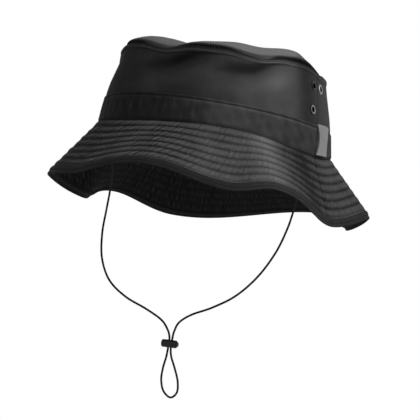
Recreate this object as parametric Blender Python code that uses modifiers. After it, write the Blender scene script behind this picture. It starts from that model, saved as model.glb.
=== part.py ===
"""Bucket hat: gathered top, tapered crown, quilted wavy brim, side eyelets, chin cord with a spring lock.

Metres, +Z up, front towards -Y, wearer's left towards +X.
The origin is the middle of the crown's base, where the brim is sewn on and the head goes in.
"""

from math import cos, degrees, pi, radians, sin

import bmesh
import bpy
from mathutils import Vector

# Clearances and cloth
CLEARANCE = 0.0003          # between cloths that are sewn or laid together
JOIN_GAP = 0.0005           # between the crown's lower edge and the brim
BRIM_GAP = 0.0005           # between the layers of the brim, which twist with its waves
PANEL_CLOTH = 0.0010
BAND_CLOTH = 0.0009
LINING_CLOTH = 0.0006
SWEATBAND_CLOTH = 0.0010
BRIM_CLOTH = 0.0006
STIFFENER_SHEET = 0.0005
BINDING_CLOTH = 0.0005
TAG_CLOTH = 0.0008
TAB_CLOTH = 0.0010

# Crown, on the outer face of its wall
CROWN_HALF_WIDTH = 0.088
CROWN_HALF_LENGTH = 0.102
CROWN_HEIGHT = 0.057        # at the front, from the brim to the top seam
CROWN_SIDE_RISE = 0.0055    # the top seam lies this much higher at the sides
CROWN_TAPER = 0.0105        # the wall leans in by this over the crown's height
CROWN_SWELL = 0.0012        # and swells out by this at mid-height
CROWN_LEAN = 0.003          # the top sits this far forward of the base
SEAM_LEAN = radians(7.5)    # the side seams lean forward by this from the top seam down to the brim
TOP_RISE = 0.009            # the middle of the top panel stands this far above the front's top seam
TOP_FULLNESS = 2.4          # exponent of the top panel's profile: 2 is round, more is boxy
PUFF_COUNT = 7
FIRST_PINCH = radians(-7)
PINCH_DIP = 0.0032          # the top seam dips by this at each pinch
PINCH_DEPTH = 0.5           # share of its rise that the top panel loses at a pinch
LINING_PINCH = 0.8          # and that the top lining loses there
# How firmly the pinches hold the top down round the hat, from 0 to 1
PINCH_HOLD = ((-7, 1.0), (44, 0.10), (147, 1.0))
# How far the top puffs up near its rim between the pinches round the hat, in metres
PUFF_WAVES = ((-38, 0.0042), (8, 0.0022), (44, 0.0062), (75, 0.0082), (180, 0.0040))
PUFF_CROWDING = 5           # exponent: the more, the nearer to the rim the puffs stand
BAND_SHARE = 0.35           # shares of the crown's height
SWEATBAND_SHARE = 0.44
UPPER_EYELET_SHARE = 0.874
LOWER_EYELET_SHARE = 0.544
LINING_SLACK = 0.0025       # the middle of the top lining hangs this far below the top panel's
LOWER_EDGE_RAISE = 0.0010   # lining and sweatband stop this far above the brim join

# Brim: droop below level, in degrees, at its highest and lowest places round the hat
BRIM_SLANT = 0.055
BRIM_WAVES = (
    (-142, 56), (-121, 40), (-87, 72), (-64, 53), (-32, 57), (3, 42.5),
    (33, 60), (48, 47.5), (83, 67), (107, 47), (130, 60), (150, 46), (168, 30),
)
# Height of the brim join round the hat, in metres
JOIN_WAVES = (
    (-146, 0), (-56, 0.0012), (-16, -0.0008), (32, 0.0015), (84, -0.0035), (114, 0.0025),
)
ROW_PITCH = 0.0068          # stitch rows, from the crown join outwards, as many as fit before the hem
CHANNEL_SWELL = 0.0009      # the cloth swells by this between two stitch rows
HEM_WIDTH = 0.0062          # tape folded over the edge
HEM_NOSE = 0.0012           # the fold stands this far past the cloths

# Eyelets: azimuth and height of the three on each side
EYELET_PLACES = {
    "upper_front": (radians(84.2), UPPER_EYELET_SHARE*CROWN_HEIGHT),
    "upper_back": (radians(92.7), UPPER_EYELET_SHARE*CROWN_HEIGHT),
    "lower": (radians(81.2), LOWER_EYELET_SHARE*CROWN_HEIGHT),
}
EYELET_RADIUS = 0.0040
EYELET_BORE = 0.0020
EYELET_WALL = 0.0004
EYELET_CROWN = 0.0007       # height of the rolled rim over the cloth
WASHER_RADIUS = 0.0036
WASHER_SHEET = 0.0005

# Tag in the left side seam, running towards the back
TAG_START = radians(90.6)
TAG_WIDTH = 0.018
TAG_RAISE = 0.0010          # lower edge above the brim join
TAG_OVERLAP = 0.0012        # upper edge above the hat band
TAG_BULGE = 0.0016

# Chin cord: the wearer's left half, from its tab down through the lock to the loop's lowest point
CORD_DIAMETER = 0.0014
CORD_POINTS = 79
CORD_ROUTE = (
    (0.0828, -0.0087, 0.0033), (0.0823, -0.0088, -0.0080), (0.0804, -0.0091, -0.0200),
    (0.0782, -0.0096, -0.0320), (0.0771, -0.0112, -0.0460), (0.0757, -0.0150, -0.0610),
    (0.0724, -0.0225, -0.0800), (0.0648, -0.0315, -0.1000), (0.0525, -0.0380, -0.1165),
    (0.0360, -0.0400, -0.1275), (0.0190, -0.0370, -0.1345), (0.0074, -0.0315, -0.1410),
    (0.0026, -0.0275, -0.1480), (0.0012, -0.0257, -0.1535), (0.0012, -0.0257, -0.1576),
    (0.0012, -0.0257, -0.1617), (0.0021, -0.0243, -0.1675), (0.0050, -0.0208, -0.1760),
    (0.0069, -0.0165, -0.1850), (0.0056, -0.0124, -0.1930), (0, -0.0105, -0.1972),
)
TAB_AZIMUTH = radians(85)
TAB_WIDTH = 0.008
TAB_HEIGHT = 0.010
TAB_GAP = 0.0015            # from the cord's end up to its tab, whose slanted edge takes most of it
SWING_DROP = 0.0010         # the cord swings about a line this far below its ends

# Cord lock: a barrel across the two strands, its button towards the wearer's left
LOCK_PLACE = Vector((0, -0.0257, -0.1576))
LOCK_RADIUS = 0.0030
LOCK_WALL = 0.0009
LOCK_HALF_LENGTH = 0.0065   # from the strands' middle to the closed end, and to the button's end
LOCK_EDGE = 0.0006          # rounding at the barrel's ends
STRAND_SPACING = 0.0024
STRAND_PLAY = 0.0004        # round each strand where it passes through the lock
BUTTON_STAND = 0.0012       # the button stands this far out of the barrel
PRESS_TRAVEL = 0.0010
PLUNGER_END = 0.0007        # wall between the plunger's slot and its inner end
SPRING_WIRE = 0.00035
SPRING_PITCH = 0.0008
SPRING_RADIUS = 0.0013

SEGMENTS = 60               # round the hat
ROUND_STEPS = 16            # round an eyelet
LOCK_STEPS = 20             # round the lock

UP = Vector((0, 0, 1))
FULL_TURN = 2*pi
QUARTER = pi/2
TOP_HEIGHT = CROWN_HEIGHT + TOP_RISE
BAND_HEIGHT = BAND_SHARE*CROWN_HEIGHT
SWEATBAND_HEIGHT = SWEATBAND_SHARE*CROWN_HEIGHT
SMALL_TURN = radians(1)     # steps over which the brim's slope is measured
SMALL_STEP = 0.001
WELD_DISTANCE = 0.00001     # points closer than this are one point
SIDE_TRIM = CLEARANCE/CROWN_HALF_LENGTH
LINING_OFFSET = -(PANEL_CLOTH + CLEARANCE)
SWEATBAND_OFFSET = LINING_OFFSET - LINING_CLOTH - CLEARANCE
TAB_OFFSET = SWEATBAND_OFFSET - SWEATBAND_CLOTH - CLEARANCE
BAND_OFFSET = CLEARANCE + BAND_CLOTH
STIFFENER_LIFT = -(BRIM_CLOTH + BRIM_GAP)
UNDER_LIFT = STIFFENER_LIFT - STIFFENER_SHEET - BRIM_GAP
BRIM_BACK_LIFT = UNDER_LIFT - BRIM_CLOTH
CHANNEL_COUNT = int((BRIM_SLANT - HEM_WIDTH)/ROW_PITCH)
QUILT_REACH = ROW_PITCH*CHANNEL_COUNT
CLOTH_REACH = BRIM_SLANT - BINDING_CLOTH - BRIM_GAP - HEM_NOSE
BORE_RADIUS = LOCK_RADIUS - LOCK_WALL
PLUNGER_RADIUS = BORE_RADIUS - CLEARANCE
STRAND_REACH = (STRAND_SPACING + CORD_DIAMETER)/2
SLOT_REACH = STRAND_REACH + CLEARANCE
SLOT_DEPTH = CORD_DIAMETER/2 + STRAND_PLAY
PLUNGER_START = -SLOT_REACH - PLUNGER_END
LOCK_FLOOR = -LOCK_HALF_LENGTH + LOCK_WALL


def clear_scene():
    for item in list(bpy.data.objects):
        bpy.data.objects.remove(item, do_unlink=True)


def new_collection(name):
    collection = bpy.data.collections.new(name)
    bpy.context.scene.collection.children.link(collection)
    return collection


clear_scene()
HAT = new_collection("bucket_hat")
CUTTERS = new_collection("cutters")


def finish(name, colour, roughness, metallic=0.0):
    """A plain material in the piece's own colour."""
    material = bpy.data.materials.new(name)
    material.use_nodes = True
    shader = material.node_tree.nodes["Principled BSDF"]
    shader.inputs["Base Color"].default_value = (*colour, 1)
    shader.inputs["Roughness"].default_value = roughness
    shader.inputs["Metallic"].default_value = metallic
    return material


SHELL_CLOTH = finish("charcoal_cloth", (0.030, 0.030, 0.031), 0.82)
BRIM_TOP_CLOTH = finish("quilted_cloth", (0.036, 0.036, 0.037), 0.85)
BRIM_LOWER_CLOTH = finish("under_brim_cloth", (0.014, 0.014, 0.015), 0.88)
BINDING_TAPE = finish("binding_tape", (0.022, 0.022, 0.023), 0.80)
LINING_FABRIC = finish("lining_fabric", (0.012, 0.012, 0.013), 0.60)
SWEATBAND_FABRIC = finish("sweatband_twill", (0.016, 0.016, 0.017), 0.80)
STIFFENER_FLEECE = finish("stiffener_fleece", (0.10, 0.10, 0.10), 0.95)
EYELET_METAL = finish("eyelet_metal", (0.35, 0.35, 0.36), 0.32, 1.0)
TAG_TAPE = finish("tag_tape", (0.24, 0.24, 0.24), 0.75)
CORD_BRAID = finish("cord_braid", (0.006, 0.006, 0.007), 0.70)
LOCK_PLASTIC = finish("lock_plastic", (0.008, 0.008, 0.009), 0.38)
SPRING_STEEL = finish("spring_steel", (0.45, 0.45, 0.46), 0.35, 1.0)


def add_part(name, data, material, collection=HAT):
    part = bpy.data.objects.new(name, data)
    collection.objects.link(part)
    data.materials.append(material)
    return part


def eased(pairs, azimuth):
    """A value that swings smoothly round the hat from one (degrees, value) pair to the next."""
    first = pairs[0][0]
    place = (degrees(azimuth) - first) % 360 + first
    around = pairs + ((first + 360, pairs[0][1]),)
    value = pairs[0][1]
    for (start, low), (end, high) in zip(around, around[1:]):
        if start <= place <= end:
            share = (place - start)/(end - start)
            value = low + (high - low)*(1 - cos(pi*share))/2
    return value


def outward(azimuth):
    """Level direction square to the crown's outline. Azimuth 0 is the front, 90 degrees the wearer's left."""
    across = sin(azimuth)/CROWN_HALF_WIDTH
    along = -cos(azimuth)/CROWN_HALF_LENGTH
    return Vector((across, along, 0)).normalized()


def wall_normal(azimuth, height):
    share = min(height/CROWN_HEIGHT, 1.0)
    slope = CROWN_TAPER - CROWN_SWELL*pi*sin(FULL_TURN*share)
    return (outward(azimuth)*CROWN_HEIGHT + UP*slope).normalized()


def wall_point(azimuth, height, offset=0.0):
    """A point on the crown wall's outer face, or square to it by offset."""
    share = height/CROWN_HEIGHT
    drawn_in = CROWN_TAPER*share - CROWN_SWELL*sin(pi*min(share, 1.0))**2
    half_width = CROWN_HALF_WIDTH - drawn_in
    half_length = CROWN_HALF_LENGTH - drawn_in
    ring = Vector((half_width*sin(azimuth), -half_length*cos(azimuth) - CROWN_LEAN*share, height))
    return ring + wall_normal(azimuth, height)*offset


def leaning(azimuth, rise):
    """Azimuth of a place on cloth whose side seams lean. rise is a share of the crown's height."""
    return azimuth - SEAM_LEAN*(1 - rise)**1.5*sin(azimuth)


def join_height(azimuth):
    return eased(JOIN_WAVES, azimuth)


def pinch(azimuth):
    """1 where the top seam is pinched, falling to 0 between pinches."""
    return ((1 + cos(PUFF_COUNT*(azimuth - FIRST_PINCH)))/2)**2


def seam_height(azimuth):
    return CROWN_HEIGHT + CROWN_SIDE_RISE*sin(azimuth)**2 - PINCH_DIP*pinch(azimuth)


def brim_face(azimuth, reach):
    """A point on the face that the brim's stitch rows lie on, reach from the crown."""
    droop = radians(eased(BRIM_WAVES, azimuth))
    start = wall_point(azimuth, join_height(azimuth)) - UP*JOIN_GAP
    return start + (outward(azimuth)*cos(droop) - UP*sin(droop))*reach


def brim_point(azimuth, reach, lift):
    """A point on the brim, lifted square to that face."""
    across = brim_face(azimuth + SMALL_TURN, reach) - brim_face(azimuth - SMALL_TURN, reach)
    along = brim_face(azimuth, reach + SMALL_STEP) - brim_face(azimuth, reach - SMALL_STEP)
    return brim_face(azimuth, reach) + along.cross(across).normalized()*lift


def top_point(azimuth, slope, rim, peak, pinch_depth, puff):
    """A point on a top that rises to peak and puffs up near its rim: slope is 0 at the rim, 1 in the middle."""
    turn = QUARTER*slope**2
    width = max(cos(turn), 0.0)**(2/TOP_FULLNESS)
    held = pinch(azimuth)*eased(PINCH_HOLD, azimuth)
    rise = sin(turn)**(2/TOP_FULLNESS)*(1 - pinch_depth*held*width)
    middle = Vector((0, -CROWN_LEAN, 0))
    place = middle.lerp(rim, width)
    place.z = rim.z + (peak - rim.z)*rise + puff*(1 - held)*sin(pi*width**PUFF_CROWDING)
    return place


def sheet(name, point, azimuths, stations, thickness, material):
    """A piece of cloth: a grid laid on point(azimuth, station), thickened away from its face."""
    mesh = bpy.data.meshes.new(name)
    grid = bmesh.new()
    columns = len(azimuths) - 1
    rows = len(stations) - 1
    bmesh.ops.create_grid(grid, x_segments=columns, y_segments=rows, size=0.5)
    for vert in grid.verts:
        azimuth = azimuths[round((vert.co.x + 0.5)*columns)]
        station = stations[round((vert.co.y + 0.5)*rows)]
        vert.co = point(azimuth, station)
    bmesh.ops.remove_doubles(grid, verts=grid.verts, dist=WELD_DISTANCE)
    grid.to_mesh(mesh)
    grid.free()
    mesh.shade_smooth()
    part = add_part(name, mesh, material)
    solidify = part.modifiers.new("cloth", "SOLIDIFY")
    solidify.thickness = thickness
    solidify.offset = -1
    return part


def spread(start, end, steps):
    return [start + (end - start)*step/steps for step in range(steps + 1)]


WHOLE_ROUND = spread(-QUARTER, FULL_TURN - QUARTER, SEGMENTS)
FRONT_HALF = spread(-QUARTER + SIDE_TRIM, QUARTER - SIDE_TRIM, SEGMENTS//2)
BACK_HALF = spread(QUARTER + SIDE_TRIM, 3*QUARTER - SIDE_TRIM, SEGMENTS//2)
HALVES = (("front", FRONT_HALF), ("back", BACK_HALF))
BRIM_ROUND = [leaning(azimuth, 0) for azimuth in WHOLE_ROUND]
BRIM_HALVES = [(side, [leaning(azimuth, 0) for azimuth in half]) for side, half in HALVES]


def upright(lower, upper, offset):
    """Places a strip on the crown wall, from a lower to an upper height that may vary round the hat."""
    def point(azimuth, share):
        low = lower(azimuth)
        return wall_point(azimuth, low + (upper(azimuth) - low)*share, offset)
    return point


def seamed(strip, top_rise):
    """Leans the side seams of a strip that ends at a share of the crown's height."""
    def point(azimuth, share):
        return strip(leaning(azimuth, share*top_rise), share)
    return point


def make_crown():
    panel = seamed(upright(join_height, seam_height, 0.0), 1.0)
    for side, azimuths in HALVES:
        sheet(f"crown_{side}_panel", panel, azimuths, spread(0, 1, 6), PANEL_CLOTH, SHELL_CLOTH)

    def top(azimuth, slope):
        rim = wall_point(azimuth, seam_height(azimuth)) + UP*CLEARANCE
        return top_point(azimuth, slope, rim, TOP_HEIGHT, PINCH_DEPTH, eased(PUFF_WAVES, azimuth))
    sheet("crown_top", top, WHOLE_ROUND, spread(0, 1, 8), PANEL_CLOTH, SHELL_CLOTH)


def make_band():
    band = seamed(upright(join_height, lambda azimuth: BAND_HEIGHT, BAND_OFFSET), BAND_SHARE)
    for side, azimuths in HALVES:
        sheet(f"hat_band_{side}", band, azimuths, spread(0, 1, 2), BAND_CLOTH, SHELL_CLOTH)


def lower_edge(azimuth):
    return join_height(azimuth) + LOWER_EDGE_RAISE


def make_inside():
    lining = upright(lower_edge, seam_height, LINING_OFFSET)
    sheet("lining_side", lining, WHOLE_ROUND, spread(0, 1, 6), LINING_CLOTH, LINING_FABRIC)

    def lining_top(azimuth, slope):
        rim = wall_point(azimuth, seam_height(azimuth), SWEATBAND_OFFSET)
        return top_point(azimuth, slope, rim, TOP_HEIGHT - LINING_SLACK, LINING_PINCH, 0.0)
    sheet("lining_top", lining_top, WHOLE_ROUND, spread(0, 1, 5), LINING_CLOTH, LINING_FABRIC)
    band = upright(lower_edge, lambda azimuth: SWEATBAND_HEIGHT, SWEATBAND_OFFSET)
    sheet("sweatband", band, WHOLE_ROUND, spread(0, 1, 2), SWEATBAND_CLOTH, SWEATBAND_FABRIC)


def channel_swell(reach):
    """How far the top cloth swells out at a reach: nothing on a stitch row, most between two rows."""
    return CHANNEL_SWELL*abs(sin(pi*reach/ROW_PITCH)) if reach < QUILT_REACH else 0.0


def make_brim():
    hem = spread(CLOTH_REACH, QUILT_REACH, 2)
    quilted = hem[:-1] + spread(QUILT_REACH, 0, 2*CHANNEL_COUNT)
    plain = hem[:-1] + spread(QUILT_REACH, 0, CHANNEL_COUNT//2 + 1)

    def upper(azimuth, reach):
        return brim_point(azimuth, reach, channel_swell(reach))

    def stiffener(azimuth, reach):
        return brim_point(azimuth, reach, STIFFENER_LIFT)

    def under(azimuth, reach):
        return brim_point(azimuth, reach, UNDER_LIFT)
    for side, azimuths in BRIM_HALVES:
        sheet(f"brim_upper_{side}", upper, azimuths, quilted, BRIM_CLOTH, BRIM_TOP_CLOTH)
        sheet(f"brim_under_{side}", under, azimuths, plain, BRIM_CLOTH, BRIM_LOWER_CLOTH)
    sheet("brim_stiffener", stiffener, BRIM_ROUND, plain, STIFFENER_SHEET, STIFFENER_FLEECE)


def make_binding():
    """Tape folded over the brim's edge, from the top cloth round to the under cloth."""
    top = BRIM_GAP + BINDING_CLOTH
    bottom = BRIM_BACK_LIFT - BRIM_GAP - BINDING_CLOTH
    start = BRIM_SLANT - HEM_WIDTH
    bend = BRIM_SLANT - HEM_NOSE
    fold = ((start, bottom), (bend, bottom), (BRIM_SLANT, (top + bottom)/2), (bend, top), (start, top))

    def tape(azimuth, place):
        return brim_point(azimuth, *place)
    sheet("brim_binding", tape, BRIM_ROUND, fold, BINDING_CLOTH, BINDING_TAPE)


def turned(name, profile, steps, material):
    """A turned piece: an outline of (radius, height) points swept round its own Z axis."""
    mesh = bpy.data.meshes.new(name)
    outline = bmesh.new()
    verts = [outline.verts.new((radius, 0, height)) for radius, height in profile]
    ends = list(zip(verts, verts[1:]))
    if profile[0][0] > 0:
        ends.append((verts[-1], verts[0]))
    for pair in ends:
        outline.edges.new(pair)
    outline.to_mesh(mesh)
    outline.free()
    part = add_part(name, mesh, material)
    screw = part.modifiers.new("turn", "SCREW")
    screw.axis = "Z"
    screw.angle = FULL_TURN
    screw.steps = steps
    screw.render_steps = steps
    screw.use_merge_vertices = True
    screw.merge_threshold = WELD_DISTANCE
    screw.use_smooth_shade = True
    return part


def cutter(name, mesh_maker):
    """A shape that is only cut out of other pieces."""
    mesh = bpy.data.meshes.new(name)
    shape = bmesh.new()
    mesh_maker(shape)
    shape.to_mesh(mesh)
    shape.free()
    tool = bpy.data.objects.new(name, mesh)
    CUTTERS.objects.link(tool)
    tool.hide_render = True
    tool.display_type = "WIRE"
    return tool


def cut(part, tool):
    boolean = part.modifiers.new(tool.name, "BOOLEAN")
    boolean.operation = "DIFFERENCE"
    boolean.object = tool
    boolean.solver = "EXACT"


def set_on_wall(part, azimuth, height):
    """Stands a turned piece on the crown wall, its own Z pointing out of the hat."""
    part.location = wall_point(azimuth, height)
    part.rotation_euler = wall_normal(azimuth, height).to_track_quat("Z", "Y").to_euler()


def make_eyelets():
    barrel = EYELET_BORE + EYELET_WALL
    washer_top = SWEATBAND_OFFSET
    washer_bottom = washer_top - WASHER_SHEET
    barrel_end = washer_bottom - CLEARANCE
    rim_top = CLEARANCE + EYELET_CROWN
    shoulder = EYELET_RADIUS - EYELET_WALL
    rim = (
        (shoulder, rim_top), (EYELET_RADIUS, rim_top - EYELET_WALL), (EYELET_RADIUS, CLEARANCE),
        (barrel, CLEARANCE), (barrel, barrel_end), (EYELET_BORE, barrel_end),
        (EYELET_BORE, rim_top - EYELET_WALL), (barrel, rim_top),
    )
    hole = barrel + CLEARANCE
    ring = (
        (WASHER_RADIUS, washer_top), (WASHER_RADIUS, washer_bottom),
        (hole, washer_bottom), (hole, washer_top),
    )
    cut_length = 4*(PANEL_CLOTH + LINING_CLOTH + CLEARANCE)

    def drill(shape):
        bmesh.ops.create_cone(
            shape, cap_ends=True, segments=ROUND_STEPS, radius1=hole, radius2=hole, depth=cut_length)
    for side, hand in (("left", 1), ("right", -1)):
        for place, (azimuth, height) in EYELET_PLACES.items():
            at = hand*azimuth
            set_on_wall(turned(f"eyelet_{side}_{place}", rim, ROUND_STEPS, EYELET_METAL), at, height)
            set_on_wall(turned(f"washer_{side}_{place}", ring, ROUND_STEPS, EYELET_METAL), at, height)
            tool = cutter(f"eyelet_hole_{side}_{place}", drill)
            set_on_wall(tool, at, height)
            panel = "crown_front_panel" if azimuth < QUARTER else "crown_back_panel"
            for cloth in (panel, "lining_side"):
                cut(bpy.data.objects[cloth], tool)


def make_tag():
    """A short tape folded double, caught in the left side seam and lying over the hat band."""
    reach = TAG_WIDTH/CROWN_HALF_LENGTH
    inner = BAND_OFFSET + CLEARANCE + TAG_CLOTH

    def tape(azimuth, share):
        across = (azimuth - TAG_START)/reach
        stand = inner + TAG_BULGE*sin(pi*across)
        at = leaning(azimuth, share*BAND_SHARE)
        low = join_height(at) + TAG_RAISE
        high = BAND_HEIGHT + TAG_OVERLAP
        return wall_point(at, low + (high - low)*share, stand)
    azimuths = spread(TAG_START, TAG_START + reach, 6)
    sheet("side_tag", tape, azimuths, spread(0, 1, 3), TAG_CLOTH, TAG_TAPE)


def make_tabs():
    """Two cloth tabs on the sweatband's inside, one over each end of the cord."""
    half_turn = TAB_WIDTH/2/CROWN_HALF_LENGTH
    bottom = CORD_ROUTE[0][2] + TAB_GAP
    tab = upright(lambda azimuth: bottom, lambda azimuth: bottom + TAB_HEIGHT, TAB_OFFSET)
    for side, middle in (("left", TAB_AZIMUTH), ("right", -TAB_AZIMUTH)):
        azimuths = spread(middle - half_turn, middle + half_turn, 2)
        sheet(f"cord_tab_{side}", tab, azimuths, spread(0, 1, 1), TAB_CLOTH, SWEATBAND_FABRIC)


def smooth_route(route, count):
    """Evenly spaced points on a smooth curve through the route."""
    fine_steps = 24
    padded = [2*route[0] - route[1]] + route + [2*route[-1] - route[-2]]
    fine = []
    for before, start, end, after in zip(padded, padded[1:], padded[2:], padded[3:]):
        for step in range(fine_steps):
            share = step/fine_steps
            curve = 2*start + (end - before)*share
            curve += (2*before - 5*start + 4*end - after)*share**2
            curve += (3*start - before - 3*end + after)*share**3
            fine.append(curve/2)
    fine.append(route[-1])
    lengths = [0.0]
    for here, there in zip(fine, fine[1:]):
        lengths.append(lengths[-1] + (there - here).length)
    points = []
    at = 0
    for mark in spread(0, lengths[-1], count - 1):
        while at < len(fine) - 2 and lengths[at + 1] < mark:
            at += 1
        part_way = (mark - lengths[at])/(lengths[at + 1] - lengths[at])
        points.append(fine[at].lerp(fine[at + 1], min(part_way, 1.0)))
    return points


def tube(name, points, diameter, sides, material, origin):
    """A round cord or wire along points, its own origin at a given place."""
    curve = bpy.data.curves.new(name, "CURVE")
    curve.dimensions = "3D"
    curve.bevel_depth = diameter/2
    curve.bevel_resolution = sides
    curve.use_fill_caps = True
    spline = curve.splines.new("POLY")
    spline.points.add(len(points) - 1)
    for target, point in zip(spline.points, points):
        target.co = (*(point - origin), 1)
    part = add_part(name, curve, material)
    part.location = origin
    return part


def make_cord():
    """One length of cord: down from the left tab, round the loop under the lock and up to the right tab."""
    left = [Vector(place) for place in CORD_ROUTE]
    right = [Vector((-place.x, place.y, place.z)) for place in left]
    swing_axis = Vector((0, left[0].y, left[0].z - SWING_DROP))
    points = smooth_route(left + right[-2::-1], CORD_POINTS)
    tube("chin_cord", points, CORD_DIAMETER, 2, CORD_BRAID, swing_axis)
    length = sum((there - here).length for here, there in zip(points, points[1:]))
    print(f"chin cord length {length:.4f} m")


def slot_cutter(name, start, end, depth):
    """A box that cuts a slot across the barrel, from start to end along its axis."""
    tall = 4*LOCK_RADIUS

    def box(shape):
        bmesh.ops.create_cube(shape, size=1)
        bmesh.ops.scale(shape, vec=(end - start, 2*depth, tall), verts=shape.verts)
        bmesh.ops.translate(shape, vec=((start + end)/2, 0, 0), verts=shape.verts)
    tool = cutter(name, box)
    tool.location = LOCK_PLACE
    return tool


def along_barrel(part):
    """Lays a turned piece across the strands, its own Z towards the wearer's left."""
    part.location = LOCK_PLACE
    part.rotation_euler = (0, QUARTER, 0)


def make_lock():
    mouth = LOCK_HALF_LENGTH - BUTTON_STAND
    edge = LOCK_RADIUS - LOCK_EDGE
    barrel = (
        (0, LOCK_FLOOR), (BORE_RADIUS, LOCK_FLOOR), (BORE_RADIUS, mouth), (edge, mouth),
        (LOCK_RADIUS, mouth - LOCK_EDGE), (LOCK_RADIUS, -LOCK_HALF_LENGTH + LOCK_EDGE),
        (edge, -LOCK_HALF_LENGTH), (0, -LOCK_HALF_LENGTH),
    )
    body = turned("lock_body", barrel, LOCK_STEPS, LOCK_PLASTIC)
    along_barrel(body)
    cut(body, slot_cutter("strand_slot", -SLOT_REACH, SLOT_REACH, SLOT_DEPTH))
    rounded = PLUNGER_RADIUS - LOCK_EDGE/2
    button = (
        (0, LOCK_HALF_LENGTH), (rounded, LOCK_HALF_LENGTH), (PLUNGER_RADIUS, LOCK_HALF_LENGTH - LOCK_EDGE/2),
        (PLUNGER_RADIUS, PLUNGER_START), (0, PLUNGER_START),
    )
    plunger = turned("lock_plunger", button, LOCK_STEPS, LOCK_PLASTIC)
    along_barrel(plunger)
    cut(plunger, slot_cutter("plunger_slot", -SLOT_REACH, SLOT_REACH + PRESS_TRAVEL, SLOT_DEPTH))


def make_spring():
    """A coil between the barrel's closed end and the plunger."""
    seat = SPRING_WIRE/2 + CLEARANCE
    start = LOCK_FLOOR + seat
    end = PLUNGER_START - seat
    turns = (end - start)/SPRING_PITCH
    turn_points = 12
    count = round(turns*turn_points)
    points = []
    for step in range(count + 1):
        angle = FULL_TURN*turns*step/count
        along = start + (end - start)*step/count
        points.append(LOCK_PLACE + Vector((along, SPRING_RADIUS*cos(angle), SPRING_RADIUS*sin(angle))))
    tube("lock_spring", points, SPRING_WIRE, 1, SPRING_STEEL, LOCK_PLACE)
    next_turn = [
        (points[there] - points[here]).length
        for here in range(len(points)) for there in range(here + turn_points//2, len(points))
    ]
    print(f"lock spring least gap to itself {min(next_turn) - SPRING_WIRE:.5f} m")


make_crown()
make_band()
make_inside()
make_brim()
make_binding()
make_eyelets()
make_tag()
make_tabs()
make_cord()
make_lock()
make_spring()
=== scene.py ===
"""Looks for the bucket hat: cloth, stitching, metal, cord and lock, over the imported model.

Metres, +Z up, front towards -Y, wearer's left towards +X. The origin is the middle of the crown's base.
"""

from math import cos, pi, radians, sin

import bpy
import numpy as np
from mathutils import Matrix, Vector


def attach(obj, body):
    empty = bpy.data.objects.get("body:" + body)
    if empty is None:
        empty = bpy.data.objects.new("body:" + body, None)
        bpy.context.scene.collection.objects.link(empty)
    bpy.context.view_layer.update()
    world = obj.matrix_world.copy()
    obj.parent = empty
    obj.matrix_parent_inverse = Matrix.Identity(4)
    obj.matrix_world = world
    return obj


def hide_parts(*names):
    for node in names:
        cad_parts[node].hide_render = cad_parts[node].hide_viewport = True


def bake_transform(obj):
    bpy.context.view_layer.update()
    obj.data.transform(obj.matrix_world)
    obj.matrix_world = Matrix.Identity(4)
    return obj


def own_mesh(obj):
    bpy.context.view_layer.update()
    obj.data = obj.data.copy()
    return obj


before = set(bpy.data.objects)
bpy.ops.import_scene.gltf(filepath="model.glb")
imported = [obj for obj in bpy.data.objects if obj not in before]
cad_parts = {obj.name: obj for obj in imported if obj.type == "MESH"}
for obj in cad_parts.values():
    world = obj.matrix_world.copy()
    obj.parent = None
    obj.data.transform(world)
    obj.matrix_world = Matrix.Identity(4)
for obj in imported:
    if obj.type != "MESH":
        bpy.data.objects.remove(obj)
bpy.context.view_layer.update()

# Crown wall: a front and a back panel of charcoal cotton twill, cut to lean in towards the top.
# They are sewn together down the two sides. Their top edge is turned in under the top seam, and the
# cloth is drawn in below most pinches of the gathered top, in soft folds with painted shade above their
# deepest line and painted light below it.
CROWN_HALF_WIDTH = 0.088
CROWN_HALF_LENGTH = 0.102
CROWN_HEIGHT = 0.057          # at the front, from the brim to the top seam
CROWN_SIDE_RISE = 0.0055      # the top seam lies this much higher at the sides
CROWN_TAPER = 0.0105
CROWN_SWELL = 0.0012          # the wall swells out by this at mid-height
CROWN_LEAN = 0.003
SEAM_LEAN = radians(7.5)      # the side seams lean forward by this from the top seam down to the brim
PANEL_CLOTH = 0.0010
PANEL_CUT = (0.285, 0.060)
PUFF_COUNT = 7
FIRST_PINCH = radians(-7)
PINCH_DIP = 0.0032            # the top seam dips by this at each pinch
JOIN_WAVES = (                # degrees round the hat, height at which the brim meets the wall
    (-146, 0), (-56, 0.0012), (-16, -0.0008), (32, 0.0015), (84, -0.0035), (114, 0.0025),
)
SEWING_GAP = 0.0003           # between cloths that lie on each other
WALL_FOLDS = (                # soft folds: degrees round the hat, half turn in degrees, depth
    (-58, 8, 0.0022), (3, 15, 0.0043), (42, 15, 0.0053),
    (147, 10, 0.0028), (199, 12, 0.0030), (250, 9, 0.0024),
)
FOLD_DROP = 0.0105            # the deepest line of a fold lies so far below the top seam
FOLD_SLANT = 0.021            # metres a radian: it rises towards the wearer's left
FOLD_ABOVE = 0.0045           # half height of its steep upper side
FOLD_BELOW = 0.0110           # and of its gentle lower side
FOLD_FULL = 0.0044            # depth of a fold that gets the full painted light below and painted shade above
FOLD_PAINTED_SHADE = (1.8, 0.0034, 0.0042)      # painted shade: how dark, how far above the deepest line, half height
FOLD_PAINTED_LIGHT = (0.6, 0.0115, 0.0065)      # painted light: how pale, how far below that line, half height
FOLD_CLEAR = 0.0018           # the folds fade out over this next to the turned edge
TURNED_WIDTH = 0.0023         # turned edge under the top seam
TURNED_LIFT = 0.0004
TURNED_STEP = 0.0005          # it steps down to the wall over this
TOPSTITCH_DROP = 0.0011       # row of stitches in the turned edge, below the top seam
SEWN_SPREAD = 0.0004          # a row of stitches draws the cloth in over this to either side
SEWN_SINK = 0.0002
RIM_INSET = 0.0002            # the pale line on the turned edge's lower rim, rubbed wear with a painted highlight
RIM_SPREAD = 0.0003
SHADOW_DROP = 0.0007          # the painted shadow line below it
SHADOW_SPREAD = 0.0005
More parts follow.
